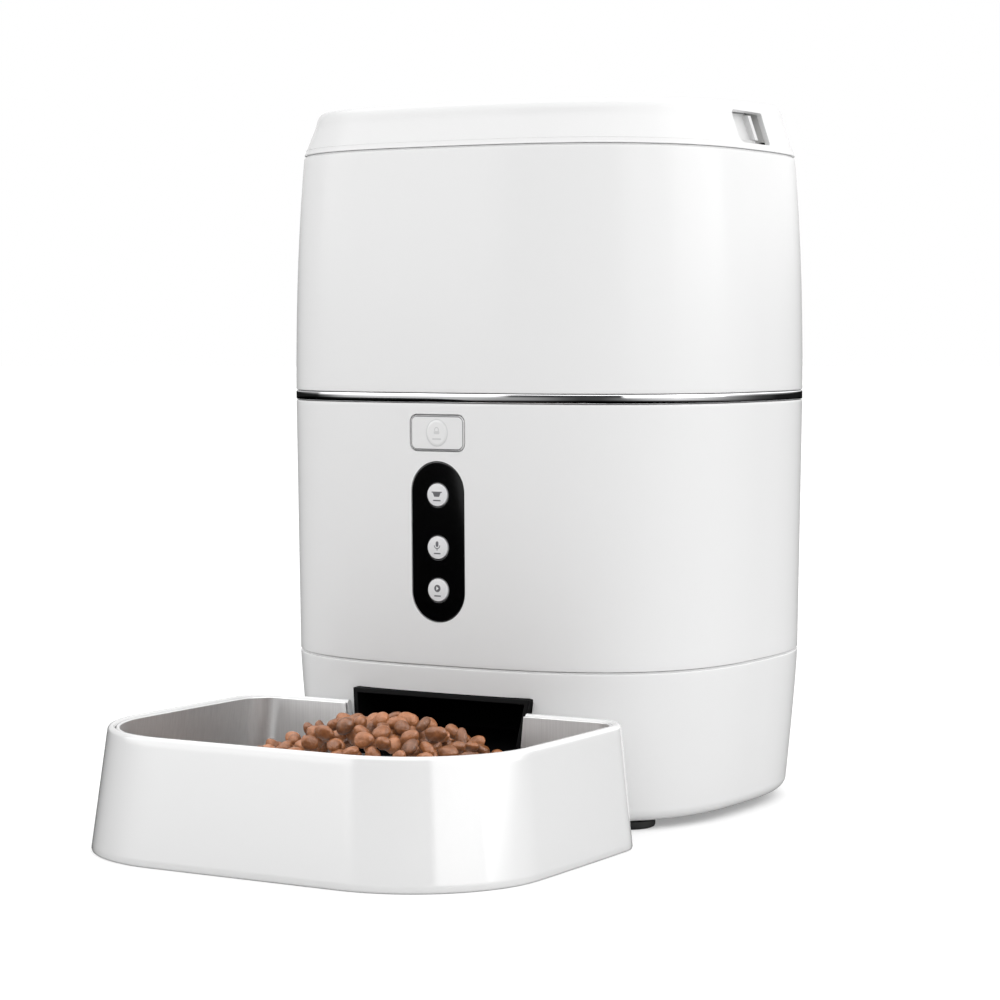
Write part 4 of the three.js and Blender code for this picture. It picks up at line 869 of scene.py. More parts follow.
class FEEDER_OT_tank(bpy.types.Operator):
    """Tank casing and the food hopper inside it"""

    bl_idname = "feeder.tank"
    bl_label = "Tank"

    def execute(self, context):
        s = sizes()
        bottom, top = low("upper_housing").z, high("upper_housing").z
        groove = float(skin(top)) - GROOVE
        step = [(groove, top), (groove, top + 0.6), (float(skin(top)) - 2.2, top + 0.6)]
        profile = casing_profile(bottom, top, [(float(skin(bottom)) - 2.2, bottom)], step, 60)
        casing = Casing(profile, side_span(profile, bottom + s.edge, top - s.edge))
        parts = casing.parts(shell_lengths(profile), 2 * math.pi / s.columns)
        outer = float(skin(top)) - INNER_FACE
        hopper, throat = HOPPER_HALF, THROAT
        ledge = top - 6.4
        inner = [(outer + 0.2, top + 0.6), (outer, ledge), (hopper + 0.7, ledge), (hopper + 0.7, ledge - 2),
                 (outer - 0.4, ledge - 6), (outer - 0.1, bottom + 0.2)]
        parts.append(as_part(around(inner)))
        make_piece("tank_casing", parts, "tank", white_gloss(), ("upper_housing",),
                   bevel=0)
        throat_bottom, rim = low("food_hopper").z, high("food_hopper").z
        funnel_top = BAND_TOP + 25 - 3.6
        height = funnel_top - throat_bottom - 4
        t = np.linspace(0, 1, 25)
        outside = np.stack([throat + 2 + (hopper - throat - 2) * t, funnel_top - height * (1 - t)], axis=1)
        inside = np.stack([throat + (hopper - 2 - throat) * t, funnel_top - height * (1 - t)], axis=1)
        flange = [(hopper, ledge + 0.3), (hopper + 2.7, ledge + 0.3), (hopper + 2.7, ledge + 2),
                  (hopper, ledge + 2)]
        lip = [(hopper, rim - 0.4), (hopper - 0.4, rim), (hopper - 1.6, rim), (hopper - 2, rim - 0.4)]
        foot = [(throat, throat_bottom), (throat + 2, throat_bottom)]
        line = np.concatenate([foot[1:], outside, flange, lip, inside[::-1], foot])
        share = np.clip((funnel_top - line[:, 1]) / height, 0, 1)
        keepers = []
        for side in (1, -1):
            x0, x1, y0, z0 = hopper - 1.0, hopper + 1.9, -4.8, rim - 1.9
            left, right = sorted((side * x0, side * x1))
            keepers.append(box_part(left, right, y0, y0 + 4.5, z0, z0 + 1.5))
        make_piece("hopper_bin", [as_part(around(line, share)), *keepers], "tank", white_inner(),
                   ("food_hopper",))
        return {"FINISHED"}


def box_part(x0, x1, y0, y1, z0, z1):
    """A plain block as vertices and outward quads: the eight corners, and six faces."""
    x, y, z = np.meshgrid([x0, x1], [y0, y1], [z0, z1], indexing="ij")
    points = np.stack([x.ravel(), y.ravel(), z.ravel()], axis=1) * MM + np.array([0, CENTRE_Y, 0])
    faces = np.array([(0, 1, 3, 2), (4, 6, 7, 5), (0, 4, 5, 1), (2, 3, 7, 6), (0, 2, 6, 4), (1, 5, 7, 3)])
    return points, faces


class FEEDER_OT_lid(bpy.types.Operator):
    """Lid with its two lock windows, the locks, liner, seal and desiccant canister"""

    bl_idname = "feeder.lid"
    bl_label = "Lid"

    def execute(self, context):
        s = sizes()
        e = s.edge
        edge = float(skin(LID_BOTTOM))
        shoulder_z = LID_BOTTOM + s.lid_side
        shoulder = edge - s.lid_lean
        z = np.linspace(LID_BOTTOM + e, shoulder_z - 1.0, 14)
        side = np.stack([edge - s.lid_lean * (z - LID_BOTTOM) / s.lid_side, z], axis=1)
        a = np.radians(np.linspace(6, 86, 14))
        rounded = np.stack([shoulder - s.lid_run * (1 - np.cos(a)), shoulder_z + s.lid_drop * np.sin(a)],
                           axis=1)
        flat = shoulder - s.lid_run
        t = np.linspace(0.985, 0, 40)
        crown = np.stack([flat * t, shoulder_z + s.lid_drop + s.lid_crown * (1 - t * t)], axis=1)
        lower = arc((edge - e, LID_BOTTOM + e), e, -90, 0, 4)[:-1]
        profile = Profile(np.concatenate([[(edge - 1.7, LID_BOTTOM)], lower, side, rounded, crown]))
        start = profile.length[1 + len(lower)]
        casing = Casing(profile, (start, profile.length[-1]), s.lid_slope, LID_BOTTOM,
                        s.lid_side + s.lid_drop)
        front, back, bottom, top = LOCK_WINDOW
        for face in ("right", "left"):
            hole = box_outline(((front + back) / 2, (bottom + top) / 2),
                               ((back - front) / 2, (top - bottom) / 2), [3.4, 1.2, 1.4, 1.6], 6)
            casing.window(face, (front - 5, back + 5), (bottom - 1.6, top + 1.9), hole, 22, 14, 3)
        parts = casing.parts(shell_lengths(profile, 3.0), 2 * math.pi / s.columns)
        make_piece("lid_casing", parts, "lid", white_gloss(), ("lid_shell",),
                   wall=2.2, bevel=0.25)
        grey = plastic("Lock Grey", colours().lock, 0.3, 0.05, 0.03)
        for side, sign in (("right", 1), ("left", -1)):
            refined(f"lid_lock_{side}", f"lid_lock_{side}", grey, 0.3)
            skirt = box_part(sign * LOCK_SKIRT - 0.85, sign * LOCK_SKIRT + 0.85, front - 1.5, 2.6,
                             bottom - 0.7, bottom + 1.5)
            make_piece(f"lock_skirt_{side}", [skirt], f"lid_lock_{side}", grey, bevel=0.15)
            wall, faces = box_part(0, 1, back + 0.15, back + 1.1, bottom + 1.3, top + 0.2)
            rise = wall[:, 2] / MM - LID_BOTTOM
            inner, outer = 84.0, edge - s.wall + 0.3 - s.lid_lean / s.lid_side * rise
            wall[:, 0] = (inner + (outer - inner) * wall[:, 0] / MM) * sign * MM
            make_piece(f"lock_pocket_{side}", [(wall, faces)], "lid", white_inner(),
                       closed=True)
        plate = low("lid_liner").z + 10.5
        skirt, rim = HOPPER_HALF - 4.4, HOPPER_HALF + 0.1
        line = [(0, plate), (skirt - 2, plate), (skirt - 2, plate - 10.1), (skirt - 1.6, plate - 10.5),
                (skirt - 0.4, plate - 10.5), (skirt, plate - 10.1), (skirt, plate), (rim, plate),
                (rim, plate + 2), (0, plate + 2)]
        make_piece("liner_plate", [as_part(around(line))], "lid", white_inner(), ("lid_liner",))
        seal_low, seal_high = low("lid_seal").z, high("lid_seal").z
        middle = (seal_low + seal_high) / 2
        back = skirt + 0.3
        bulge = arc((back, middle), (1.6, 1.5), -80, 80, 10)
        bead = np.concatenate([[(back, seal_low)], bulge, [(back, seal_high), (back, seal_low)]])
        seal = plastic("Seal Rubber", (0.24, 0.245, 0.25), 0.65, 0.1, 0.08, 500.0, 0.1)
        make_piece("seal_bead", [as_part(around(bead))], "lid", seal, ("lid_seal",))
        refined("desiccant_canister", "desiccant", white_inner(), 0.5)
        return {"FINISHED"}


# ---------------------------------------------------------------- keys


def stroke(x, z, a, b, width):
    """Mask of a straight line from a to b: one inside half the width, soft over a tenth of a millimetre."""
    a, b = np.asarray(a, float), np.asarray(b, float)
    d = b - a
    t = np.clip(((x - a[0]) * d[0] + (z - a[1]) * d[1]) / max(d @ d, 1e-9), 0, 1)
    away = np.hypot(x - a[0] - t * d[0], z - a[1] - t * d[1])
    return np.clip((width / 2 - away) / 0.1 + 0.5, 0, 1)


def ring_mark(x, z, centre, radius, width, lower=-1e9):
    """Mask of a circle's line, above a lower limit."""
    away = np.abs(np.hypot(x - centre[0], z - centre[1]) - radius)
    return np.clip((width / 2 - away) / 0.1 + 0.5, 0, 1) * (z > lower)


def key_mark(kind, x, z):
    """Printed symbol of a key, about its centre: a bowl, a microphone or a play triangle in a ring."""
    if kind == "feed":
        bowl = np.clip((1.9 - np.abs(x) - 0.45 * (0.9 - z)) / 0.1, 0, 1) * (z < 0.9) * (z > -0.7)
        rim = stroke(x, z, (-2.2, 1.1), (2.2, 1.1), 0.42)
        return np.clip(bowl + rim + stroke(x, z, (-1.5, -2.2), (1.5, -2.2), 0.5), 0, 1)
    if kind == "record":
        head = stroke(x, z, (0, 0.9), (0, 1.9), 1.25)
        cradle = np.clip((0.17 - np.abs(np.hypot(x, z - 0.9) - 1.25)) / 0.1 + 0.5, 0, 1) * (z < 0.9)
        stem = stroke(x, z, (0, -0.3), (0, -1.0), 0.32)
        return np.clip(head + cradle + stem + stroke(x, z, (-1.3, -2.3), (1.3, -2.3), 0.5), 0, 1)
    if kind == "play":
        body = np.clip((1.5 - np.hypot(x, z - 0.7)) / 0.1, 0, 1)
        slope = np.clip((0.62 - np.abs(z - 0.7) * 1.1 - x) / 0.1, 0, 1)
        arrow = slope * (x > -0.5) * np.clip((0.75 - np.abs(z - 0.7)) / 0.1, 0, 1)
        return np.clip(body - arrow + stroke(x, z, (-1.3, -2.3), (1.3, -2.3), 0.5), 0, 1)
    shackle = ring_mark(x, z, (0, 1.3), 0.85, 0.34, 1.3)
    legs = stroke(x, z, (-0.85, 1.3), (-0.85, 0.9), 0.34) + stroke(x, z, (0.85, 1.3), (0.85, 0.7), 0.34)
    lock = stroke(x, z, (-0.75, 0.1), (0.75, 0.1), 1.2)
    return np.clip(shackle + legs + 0.8 * lock + stroke(x, z, (-1.8, -2.4), (1.8, -2.4), 0.5), 0, 1)


def domed_rows(proud, dome, depth, flange, edge=0.45, rings=44):
    """Rows of a key: a face that bulges by dome, a rounded edge, a side and a flange, down to its back."""
    share = np.linspace(0.0, 1.0, rings)
    face = [(float(t), 0.0, proud + dome * (1 - t * t)) for t in share * 0.94]
    last = face[-1][2]
    turn = np.radians(np.linspace(15, 90, 5))
    rounded = [(0.94 + 0.06 * math.sin(a), 0.0, last - edge * (1 - math.cos(a))) for a in turn]
    side = [(1.0, 0.0, -depth), (1.0, flange, -depth), (1.0, flange, -depth - 1.1), (0.0, 0.0, -depth - 1.1)]
    return face + rounded + side


class FEEDER_OT_keys(bpy.types.Operator):
    """Black key panel with its three printed keys, and the white release key above it"""

    bl_idname = "feeder.keys"
    bl_label = "Panel and keys"

    def execute(self, context):
        centre, half, tall = face_of("control_panel", PANEL_FLANGE)
        keys = {n: (low(f"{n}_button") + high(f"{n}_button")) / 2 for n in ("feed", "record", "play")}
        _, key_half, key_tall = face_of("feed_button", KEY_FLANGE)
        order = sorted(keys, key=lambda n: keys[n].z)
        midway = [(keys[a].z + keys[b].z) / 2 for a, b in zip(order, order[1:])]
        cuts = [centre - tall, *midway, centre + tall]
        parts = []
        for i, name in enumerate(order):
            z0, z1 = cuts[i], cuts[i + 1]
            below = half - 0.01 if i == 0 else 1e-4
            above = half - 0.01 if i == 2 else 1e-4
            square = box_outline((0, (z0 + z1) / 2), (half, (z1 - z0) / 2), [below, below, above, above], 24)
            counts = [40, 44, 40, 44]
            hole = ellipse_outline((0, keys[name].z), (key_half + 0.3, key_tall + 0.3))
            plane = annulus(resampled(square, counts), resampled(hole, counts), 7)
            y = front_of(plane[..., 0], plane[..., 1], 0.15)
            parts.append(as_part(np.stack([plane[..., 0], y, plane[..., 1]], axis=2)))
        make_piece("key_panel", parts, "base", black_gloss(), ("control_panel",), wall=1.8,
                   bevel=0.3)
        for name, place in keys.items():
            outline = resampled(ellipse_outline((0, place.z), (key_half, key_tall)), [36] * 4)
            points = capped(outline, (0, place.z), domed_rows(0.35, 0.3, 3.6, KEY_FLANGE), front_of)
            face = points[..., 1] < front_of(points[..., 0], points[..., 2])
            mark = key_mark(name, points[..., 0], points[..., 2] - place.z) * face
            material = printed("Printed Key", colours().keys, 0.28)
            make_piece(f"{name}_key", [as_part(points)], f"{name}_button", material, (f"{name}_button",),
                       attributes={"mark": mark})
        key = (low("release_button") + high("release_button")) / 2
        _, wide, high_half = face_of("release_button", RELEASE_FLANGE)
        outline = resampled(box_outline((0, key.z), (wide, high_half), 2.7, 10), [56, 36, 56, 36])
        rows = domed_rows(0.1, 0.0, 2.4, RELEASE_FLANGE, 0.35, 60)
        points = capped(outline, (0, key.z), rows, front_of)
        egg = np.hypot(points[..., 0] / 4.8, (points[..., 2] - key.z) / 5.2)
        face = points[..., 1] < front_of(points[..., 0], points[..., 2])
        points[..., 1] -= 0.25 * np.clip((1.0 - egg) * 6, 0, 1) * face
        ring = np.clip((0.07 - np.abs(egg - 1.0)) / 0.04, 0, 1) * 0.22
        # Painted shade: a print-grey band about half a millimetre wide along the key face's outer edge
        # stands for the shadowed gap round the key; the egg ring and the symbol are print.
        across, up = np.abs(points[..., 0]) - wide + 2.7, np.abs(points[..., 2] - key.z) - high_half + 2.7
        past_corner = np.hypot(np.maximum(across, 0), np.maximum(up, 0))
        inside = past_corner + np.minimum(np.maximum(across, up), 0) - 2.7
        rim = np.clip((inside + 0.55) / 0.12 + 0.5, 0, 1)
        symbol = 0.3 * key_mark("release", points[..., 0], points[..., 2] - key.z)
        mark = np.clip(ring + symbol + rim, 0, 1) * face
        make_piece("release_key", [as_part(points)], "release_button",
                   printed("Printed Release Key", colours().shell, 0.2),
                   ("release_button",), attributes={"mark": mark})
        return {"FINISHED"}


# ---------------------------------------------------------------- bowl


def bowl_outline(edge, count=360):
    """The bowl's rim line, counter-clockwise: two straight sides, a straight front and back, and four
    corner arcs. Returns (x, y, normal x, normal y) for the wall, from the notch's left end to its right
    end, and for the notch."""
    s = sizes()
    lowest, highest = low("bowl"), high("bowl")
    half, rear, nose = highest.x - s.bowl_flare, highest.y, lowest.y + s.bowl_flare
    rf, rr = s.bowl_front_corner, s.bowl_rear_corner
    arcs = [(-half + rr, rear - rr, rr, 90), (-half + rf, nose + rf, rf, 180),
            (half - rf, nose + rf, rf, 270), (half - rr, rear - rr, rr, 0)]
    line = [np.array([[-edge, rear]])]
    for cx, cy, radius, start in arcs:
        turn = arc((cx, cy), radius, start, start + 90, 48)
        last = line[-1][-1]
        line.append(last + (turn[0] - last) * np.linspace(0, 1, 80)[1:-1, None])
        line.append(turn)
    line.append(line[-1][-1] + (np.array([edge, rear]) - line[-1][-1]) * np.linspace(0, 1, 60)[1:, None])
    line = np.concatenate(line)
    length = np.concatenate([[0.0], np.cumsum(np.linalg.norm(np.diff(line, axis=0), axis=1))])
    at = np.linspace(0, length[-1], count + 1)
    x, y = np.interp(at, length, line[:, 0]), np.interp(at, length, line[:, 1])
    ahead = np.stack([np.interp(at + d, length, line[:, k]) for d in (0.6, -0.6) for k in (0, 1)])
    tx, ty = ahead[0] - ahead[2], ahead[1] - ahead[3]
    size = np.hypot(tx, ty)
    across = np.linspace(edge, -edge, 49)
    notch = np.stack([across, np.full(49, rear), np.zeros(49), np.ones(49)])
    return np.stack([x, y, ty / size, -tx / size]), notch


def bowl_place(path, line, edge):
    """Points of a wall: each outline point is drawn in along its normal by the line's inset, bulged
    sideways, and scaled out towards the floor by the flare. Beside the notch the wall's end leans as the
    spout's side does."""
    s = sizes()
    lowest, highest = low("bowl"), high("bowl")
    half, rear, nose = highest.x - s.bowl_flare, highest.y, lowest.y + s.bowl_flare
    x, y, nx, ny = [row[None, :] for row in path]
    inset, z = np.asarray(line, float)[:, 0][:, None], np.asarray(line, float)[:, 1][:, None]
    level = 1 - z / highest.z
    beside = np.clip(1 - (np.abs(x) - edge) / (half - s.bowl_rear_corner - edge), 0,
                     1) * np.clip(np.abs(x) / edge, 0, 1)
    lean = s.spout_lean * highest.z * level * beside * (ny > 0.99)
    px, py = x - nx * inset - np.sign(x) * lean, y - ny * inset
    middle = (rear + nose) / 2
    bulge = s.bowl_bulge * np.clip(1 - ((y - middle) / (rear - nose) * 2) ** 2, 0, 1) * nx
    px = px * (1 + s.bowl_flare * level / half) + bulge
    py = rear + (py - rear) * (1 + s.bowl_flare * level / (rear - nose))
    return np.stack([px, py, np.broadcast_to(z, px.shape)], axis=2)


def bowl_ring(line, edge):
    """A stretch of wall that runs all the way round, across the notch as well."""
    wall, notch = bowl_outline(edge)
    return bowl_place(np.concatenate([wall, notch[:, 1:]], axis=1), line, edge)


def closing(row, z, outward=False):
    """A flat floor: a closed row of points shrunk to its middle in even steps."""
    middle = np.array([0, (row[:, 1].min() + row[:, 1].max()) / 2, z])
    rows = middle + (row[None] - middle) * np.linspace(1, 0, 14)[:, None, None]
    return rows[::-1] if outward else rows


class FEEDER_OT_bowl(bpy.types.Operator):
    """White bowl with its rolled rim and the steel liner, both notched for the spout"""

    bl_idname = "feeder.bowl"
    bl_label = "Bowl"

    def execute(self, context):
        s = sizes()
        top = high("bowl").z
        bottom = low("chute").z - 1.0
        edge = high("chute").x + 1.0 - (MOUTH_TOP - top) * s.spout_lean
        wall, notch = bowl_outline(edge)
        rim, thick, start = s.rim_radius, 2 * s.rim_radius, bottom - 1.2
        steps = np.linspace(0, 1, 10)[:, None]
        turn = np.radians(np.linspace(0, 180, 13))[1:-1]
        up = np.array([0, start]) + steps * [0, top - rim - start]
        rolled = np.stack([rim - rim * np.cos(turn), top - rim + rim * np.sin(turn)], axis=1)
        down = np.array([thick, top - rim]) + steps * [0, start - top + rim]
        high_line = np.concatenate([up, rolled, down])
        e = 0.7
        up = np.array([0, start]) + steps * [0, bottom - e - start]
        flat = np.stack([rim - rim * np.sign(np.cos(turn)) * np.abs(np.cos(turn)) ** 0.5,
                         bottom - e + e * np.sin(turn) ** 0.5], axis=1)
        down = np.array([thick, bottom - e]) + steps * [0, start - bottom + e]
        low_line = np.concatenate([up, flat, down])
        foot = [(thick + 1.0, 3.0), (thick + 1.0, 0.5), (thick + 0.6, 0.0), (1.0, 0.0), (0.3, 0.3),
                (0.0, 1.0)]
        outside = bowl_ring(np.array(foot + [(0.0, z) for z in np.linspace(1.0, start, 12)[1:]]), edge)
        inside = bowl_ring(np.array([(thick, z) for z in np.linspace(start, BOWL_FLOOR, 8)]), edge)
        parts = [as_part(closing(outside[0], 3.0, True)), as_part(outside),
                 as_part(bowl_place(wall, high_line, edge)),
                 as_part(bowl_place(notch, low_line, edge)), as_part(inside),
                 as_part(closing(inside[-1], BOWL_FLOOR))]
        share = np.linspace(0, 1, 7)[:, None, None]
        caps = []
        for end in (wall[:, :1], wall[:, -1:]):
            tall, short = bowl_place(end, high_line, edge)[:, 0], bowl_place(end, low_line, edge)[:, 0]
            caps.append(tall[None] * (1 - share) + short[None] * share)
        parts += [as_part(cap) for cap in caps]
        make_piece("bowl_shell", parts, "bowl", bowl_white(), ("bowl",), bevel=0.3,
                   sharp=50, closed=True)
        steel = metal("Brushed Steel", colours().steel, 0.36, 0.16, (1500.0, 1500.0, 40.0), 0.04,
                      Metallic=0.86)
        tub, fillet, floor = thick + GAP + STEEL_SHEET, s.liner_fillet, low("bowl_liner").z + STEEL_SHEET
        lip = high("bowl_liner").z
        tall = bowl_place(wall, np.array([(tub, z) for z in np.linspace(lip, bottom, 16)]), edge)
        round_floor = [(tub + fillet * (1 - math.cos(a)), floor + fillet * (1 - math.sin(a)))
                       for a in np.radians(np.linspace(0, 90, 13))]
        common = bowl_ring(np.array([(tub, z) for z in np.linspace(bottom, floor + fillet, 8)[:-1]]
                                    + round_floor), edge)
        parts = [as_part(tall), as_part(common), as_part(closing(common[-1], floor))]
        make_piece("steel_liner", parts, "bowl", steel, ("bowl_liner",), wall=STEEL_SHEET,
                   bevel=0.25, sharp=40)
        return {"FINISHED"}


class FEEDER_OT_spout(bpy.types.Operator):
    """Black spout that hands the food from the wheel to the bowl"""

    bl_idname = "feeder.spout"
    bl_label = "Spout"

    def execute(self, context):
        refined("chute", "base", black_plastic(), 0.35)
        return {"FINISHED"}


# ---------------------------------------------------------------- food


def kibble_ball():
    """One piece of food: a low-count unit globe with its poles closed; the food operator presses it flat
    like a pillow.
    """
    rows, columns = 6, 9
    t = np.linspace(-math.pi / 2, math.pi / 2, rows)
    a = np.linspace(0, 2 * math.pi, columns + 1)[:-1]
    x = np.cos(t)[1:-1, None] * np.cos(a)[None]
    y = np.cos(t)[1:-1, None] * np.sin(a)[None]
    z = np.sin(t)[1:-1, None] + 0 * a[None]
    points = np.concatenate([[(0, 0, -1)], np.stack([x, y, z], 2).reshape(-1, 3), [(0, 0, 1)]])
    n = np.arange(columns)
    nxt = (n + 1) % columns
    quads = np.concatenate([np.stack([1 + r * columns + n, 1 + r * columns + nxt,
                                      1 + (r + 1) * columns + nxt, 1 + (r + 1) * columns + n], 1)
                            for r in range(rows - 3)])
    last = len(points) - 1
    lower = np.stack([np.zeros(columns, int), 1 + nxt, 1 + n], 1)
    upper = np.stack([np.full(columns, last), 1 + (rows - 3) * columns + n, 1 + (rows - 3) * columns + nxt],
                     1)
    return points, quads, np.concatenate([lower, upper])


def heap_height(x, y):
    """Height of the food over the liner's floor: a mound under the spout that falls off to the front and
    the sides."""
    back = high("bowl").y
    mound = np.exp(-((np.abs(x + 6) / 58) ** 2.6) - ((np.abs(y - (back - 34)) / 46) ** 2.4))
    return 11 + 30 * mound


class FEEDER_OT_food(bpy.types.Operator):
    """Dry food lying in the bowl; it is not a part of the feeder"""

    bl_idname = "feeder.food"
    bl_label = "Food"

    def execute(self, context):
        s = sizes()
        rng = np.random.default_rng(7)
        count = s.kibble_count
        back = high("bowl").y
        tries = rng.uniform([-74, back - 112], [74, back - 9], size=(TRIES_PER_LAYER * len(LAYER_DROPS), 2))
        spacing = s.kibble_size * 0.80
        layers = []
        for layer, drop in enumerate(LAYER_DROPS):
            kept = np.empty((0, 2))
            for p in tries[layer * TRIES_PER_LAYER : (layer + 1) * TRIES_PER_LAYER]:
                if len(kept) == 0 or np.min(np.hypot(*(kept - p).T)) > spacing:
                    kept = np.vstack([kept, p])
            layers.append(np.column_stack([kept, np.full(len(kept), drop)]))
        spots = np.concatenate(layers)
        corner = np.clip(np.abs(spots[:, 0]) - 40, 0, None) ** 2 + np.clip(back - 66 - spots[:, 1], 0,
            None) ** 2
        spots = spots[corner < 44**2][:count]
        count = len(spots)
        points, quads, tris = kibble_ball()
        size = s.kibble_size / 2 * rng.uniform(0.82, 1.16, count)
        shape = np.stack([rng.uniform(1.0, 1.35, count), rng.uniform(0.72, 0.98, count),
                          rng.uniform(0.5, 0.72, count)], 1)
        local = points[None] * shape[:, None] * size[:, None, None]
        local *= 1 + 0.09 * rng.standard_normal(local.shape[:2])[..., None].clip(-1.4, 1.4)
        q = rng.standard_normal((count, 4)) * np.array([1.0, 0.45, 0.45, 1.0])
        q /= np.linalg.norm(q, axis=1, keepdims=True)
        w, i, j, k = q.T
        turn = np.stack([np.stack([1 - 2 * (j * j + k * k), 2 * (i * j - k * w), 2 * (i * k + j * w)], 1),
                         np.stack([2 * (i * j + k * w), 1 - 2 * (i * i + k * k), 2 * (j * k - i * w)], 1),
                         np.stack([2 * (i * k - j * w), 2 * (j * k + i * w), 1 - 2 * (i * i + j * j)], 1)],
                        1)
        local = np.einsum("nij,nvj->nvi", turn, local)
        floor = low("bowl_liner").z + STEEL_SHEET
        z = floor + heap_height(spots[:, 0], spots[:, 1]) - spots[:, 2] - 4 + rng.uniform(-1.2, 1.4, count)
        centre = np.column_stack([spots[:, 0], spots[:, 1], np.maximum(z, floor + 4.5)])
        world = (local + centre[:, None]).reshape(-1, 3) * MM + np.array([0, CENTRE_Y, 0])
        start = (np.arange(count) * len(points))[:, None, None]
        faces = [*(quads[None] + start).reshape(-1, 4).tolist(),
                 *(tris[None] + start).reshape(-1, 3).tolist()]
        mesh = bpy.data.meshes.new("kibble")
        mesh.from_pydata(world.tolist(), [], faces)
        tone = np.repeat(rng.uniform(0.28, 0.74, count), len(points))
        layer = mesh.attributes.new("tone", "FLOAT", "POINT")
        layer.data.foreach_set("value", tone.astype(np.float32))
        mesh.shade_smooth()
        mesh.materials.append(crust_material())
        food = bpy.data.objects.new("kibble", mesh)
        bpy.context.scene.collection.objects.link(food)
        smooth = food.modifiers.new("Rounding", "SUBSURF")
        smooth.levels = smooth.render_levels = 1
        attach(food, "bowl")
        return {"FINISHED"}


# ---------------------------------------------------------------- inside


class FEEDER_OT_drive(bpy.types.Operator):
    """Deck, motor, gears, portion wheel, pan and cover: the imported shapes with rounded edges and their
    own finishes"""

    bl_idname = "feeder.drive"
    bl_label = "Drive and wheel"

    def execute(self, context):
        inner = white_inner()
        for node in ("deck", "dispenser_pan", "portion_cover"):
            refined(node, "base", inner, 0.4)
        steel = metal("Bracket Steel", (0.46, 0.46, 0.47), 0.34, 0.2)
        refined("motor_bracket", "base", steel, 0.3)
        refined("motor", "base", metal("Motor Can", (0.55, 0.55, 0.55), 0.26, 0.1, (1500.0, 1500.0, 50.0)),
                0.4)
        refined("idler_pin", "base", steel, 0.2)
        refined("shaft_bush", "base", metal("Sintered Brass", (0.55, 0.38, 0.16), 0.35), 0.3)
        refined("rotor_shaft", "rotor", steel, 0.3)
        wheel = plastic("Wheel Grey", (0.42, 0.43, 0.44), 0.4, 0.08, 0.05, 600.0, 0.08)
        refined("rotor", "rotor", wheel, 0.4)
        soft = plastic("Agitator Rubber", (0.2, 0.205, 0.21), 0.68, 0.1, 0.08, 500.0, 0.12)
        refined("agitator", "rotor", soft, 0.4)
        gear = plastic("Gear Nylon", (0.74, 0.70, 0.58), 0.44, 0.08, 0.05, 700.0, 0.06)
        refined("output_gear", "rotor", gear, 0.12)
        refined("idler_gear", "idler", gear, 0.1)
        refined("motor_pinion", "pinion", metal("Pinion Brass", (0.6, 0.42, 0.18), 0.28), 0.08)
        return {"FINISHED"}


class FEEDER_OT_power(bpy.types.Operator):
    """Battery box, cells, contacts and the mains jack"""

    bl_idname = "feeder.power"
    bl_label = "Power"

    def execute(self, context):
        refined("battery_box", "base", white_inner(), 0.4)
        jacket = plastic("Cell Jacket", (0.03, 0.08, 0.2), 0.3, 0.06, 0.06, 800.0, 0.03)
        for i in range(1, 4):
            refined(f"battery_{i}", "base", jacket, 0.5)
        spring = metal("Contact Plate", (0.6, 0.6, 0.58), 0.3)
        for place in ("front", "rear"):
            refined(f"battery_contact_{place}", "base", spring, 0.15)
        refined("dc_inlet", "base", black_plastic(), 0.3)
        return {"FINISHED"}


class FEEDER_OT_electronics(bpy.types.Operator):
    """Boards, switches, lamp, microphone and speaker"""

    bl_idname = "feeder.electronics"
    bl_label = "Electronics"

    def execute(self, context):
        board = plastic("Circuit Board", (0.012, 0.09, 0.04), 0.4, 0.1, 0.15, 300.0, 0.15)
        for node in ("control_board", "main_board"):
            refined(node, "base", board, 0.15)
        for name in ("feed", "record", "play", "release"):
            refined(f"{name}_switch", "base", black_plastic(), 0.15)
        lamp = plastic("Status Lamp", (0.12, 0.45, 0.16), 0.25, 0.04, 0.05)
        refined("status_led", "base", lamp, 0.15)
        refined("microphone", "base", metal("Microphone Can", (0.5, 0.5, 0.5), 0.3), 0.2)
        refined("speaker", "base",
                plastic("Speaker Cone", (0.012, 0.012, 0.013), 0.55, 0.1, 0.2, 300.0, 0.2),
                0.4)
        return {"FINISHED"}


# ---------------------------------------------------------------- floor, light and camera


def ring_of_cards(nodes, links, turn, brightest, stops):
    """Brightness by compass angle: straight lines between (degrees, brightness) stops, times the
    brightest."""
    ramp = nodes.new("ShaderNodeValToRGB")
    elements = ramp.color_ramp.elements
    elements.remove(elements[-1])
    elements[0].position = 0.0
    for i, (degrees, value) in enumerate(stops):
        element = elements[0] if i == 0 else elements.new((degrees + 180) / 360)
        element.color = (*[value / brightest] * 3, 1)
    links.new(turn, ramp.inputs["Fac"])
    return math_node(nodes, links, "MULTIPLY", ramp.outputs["Color"], brightest)


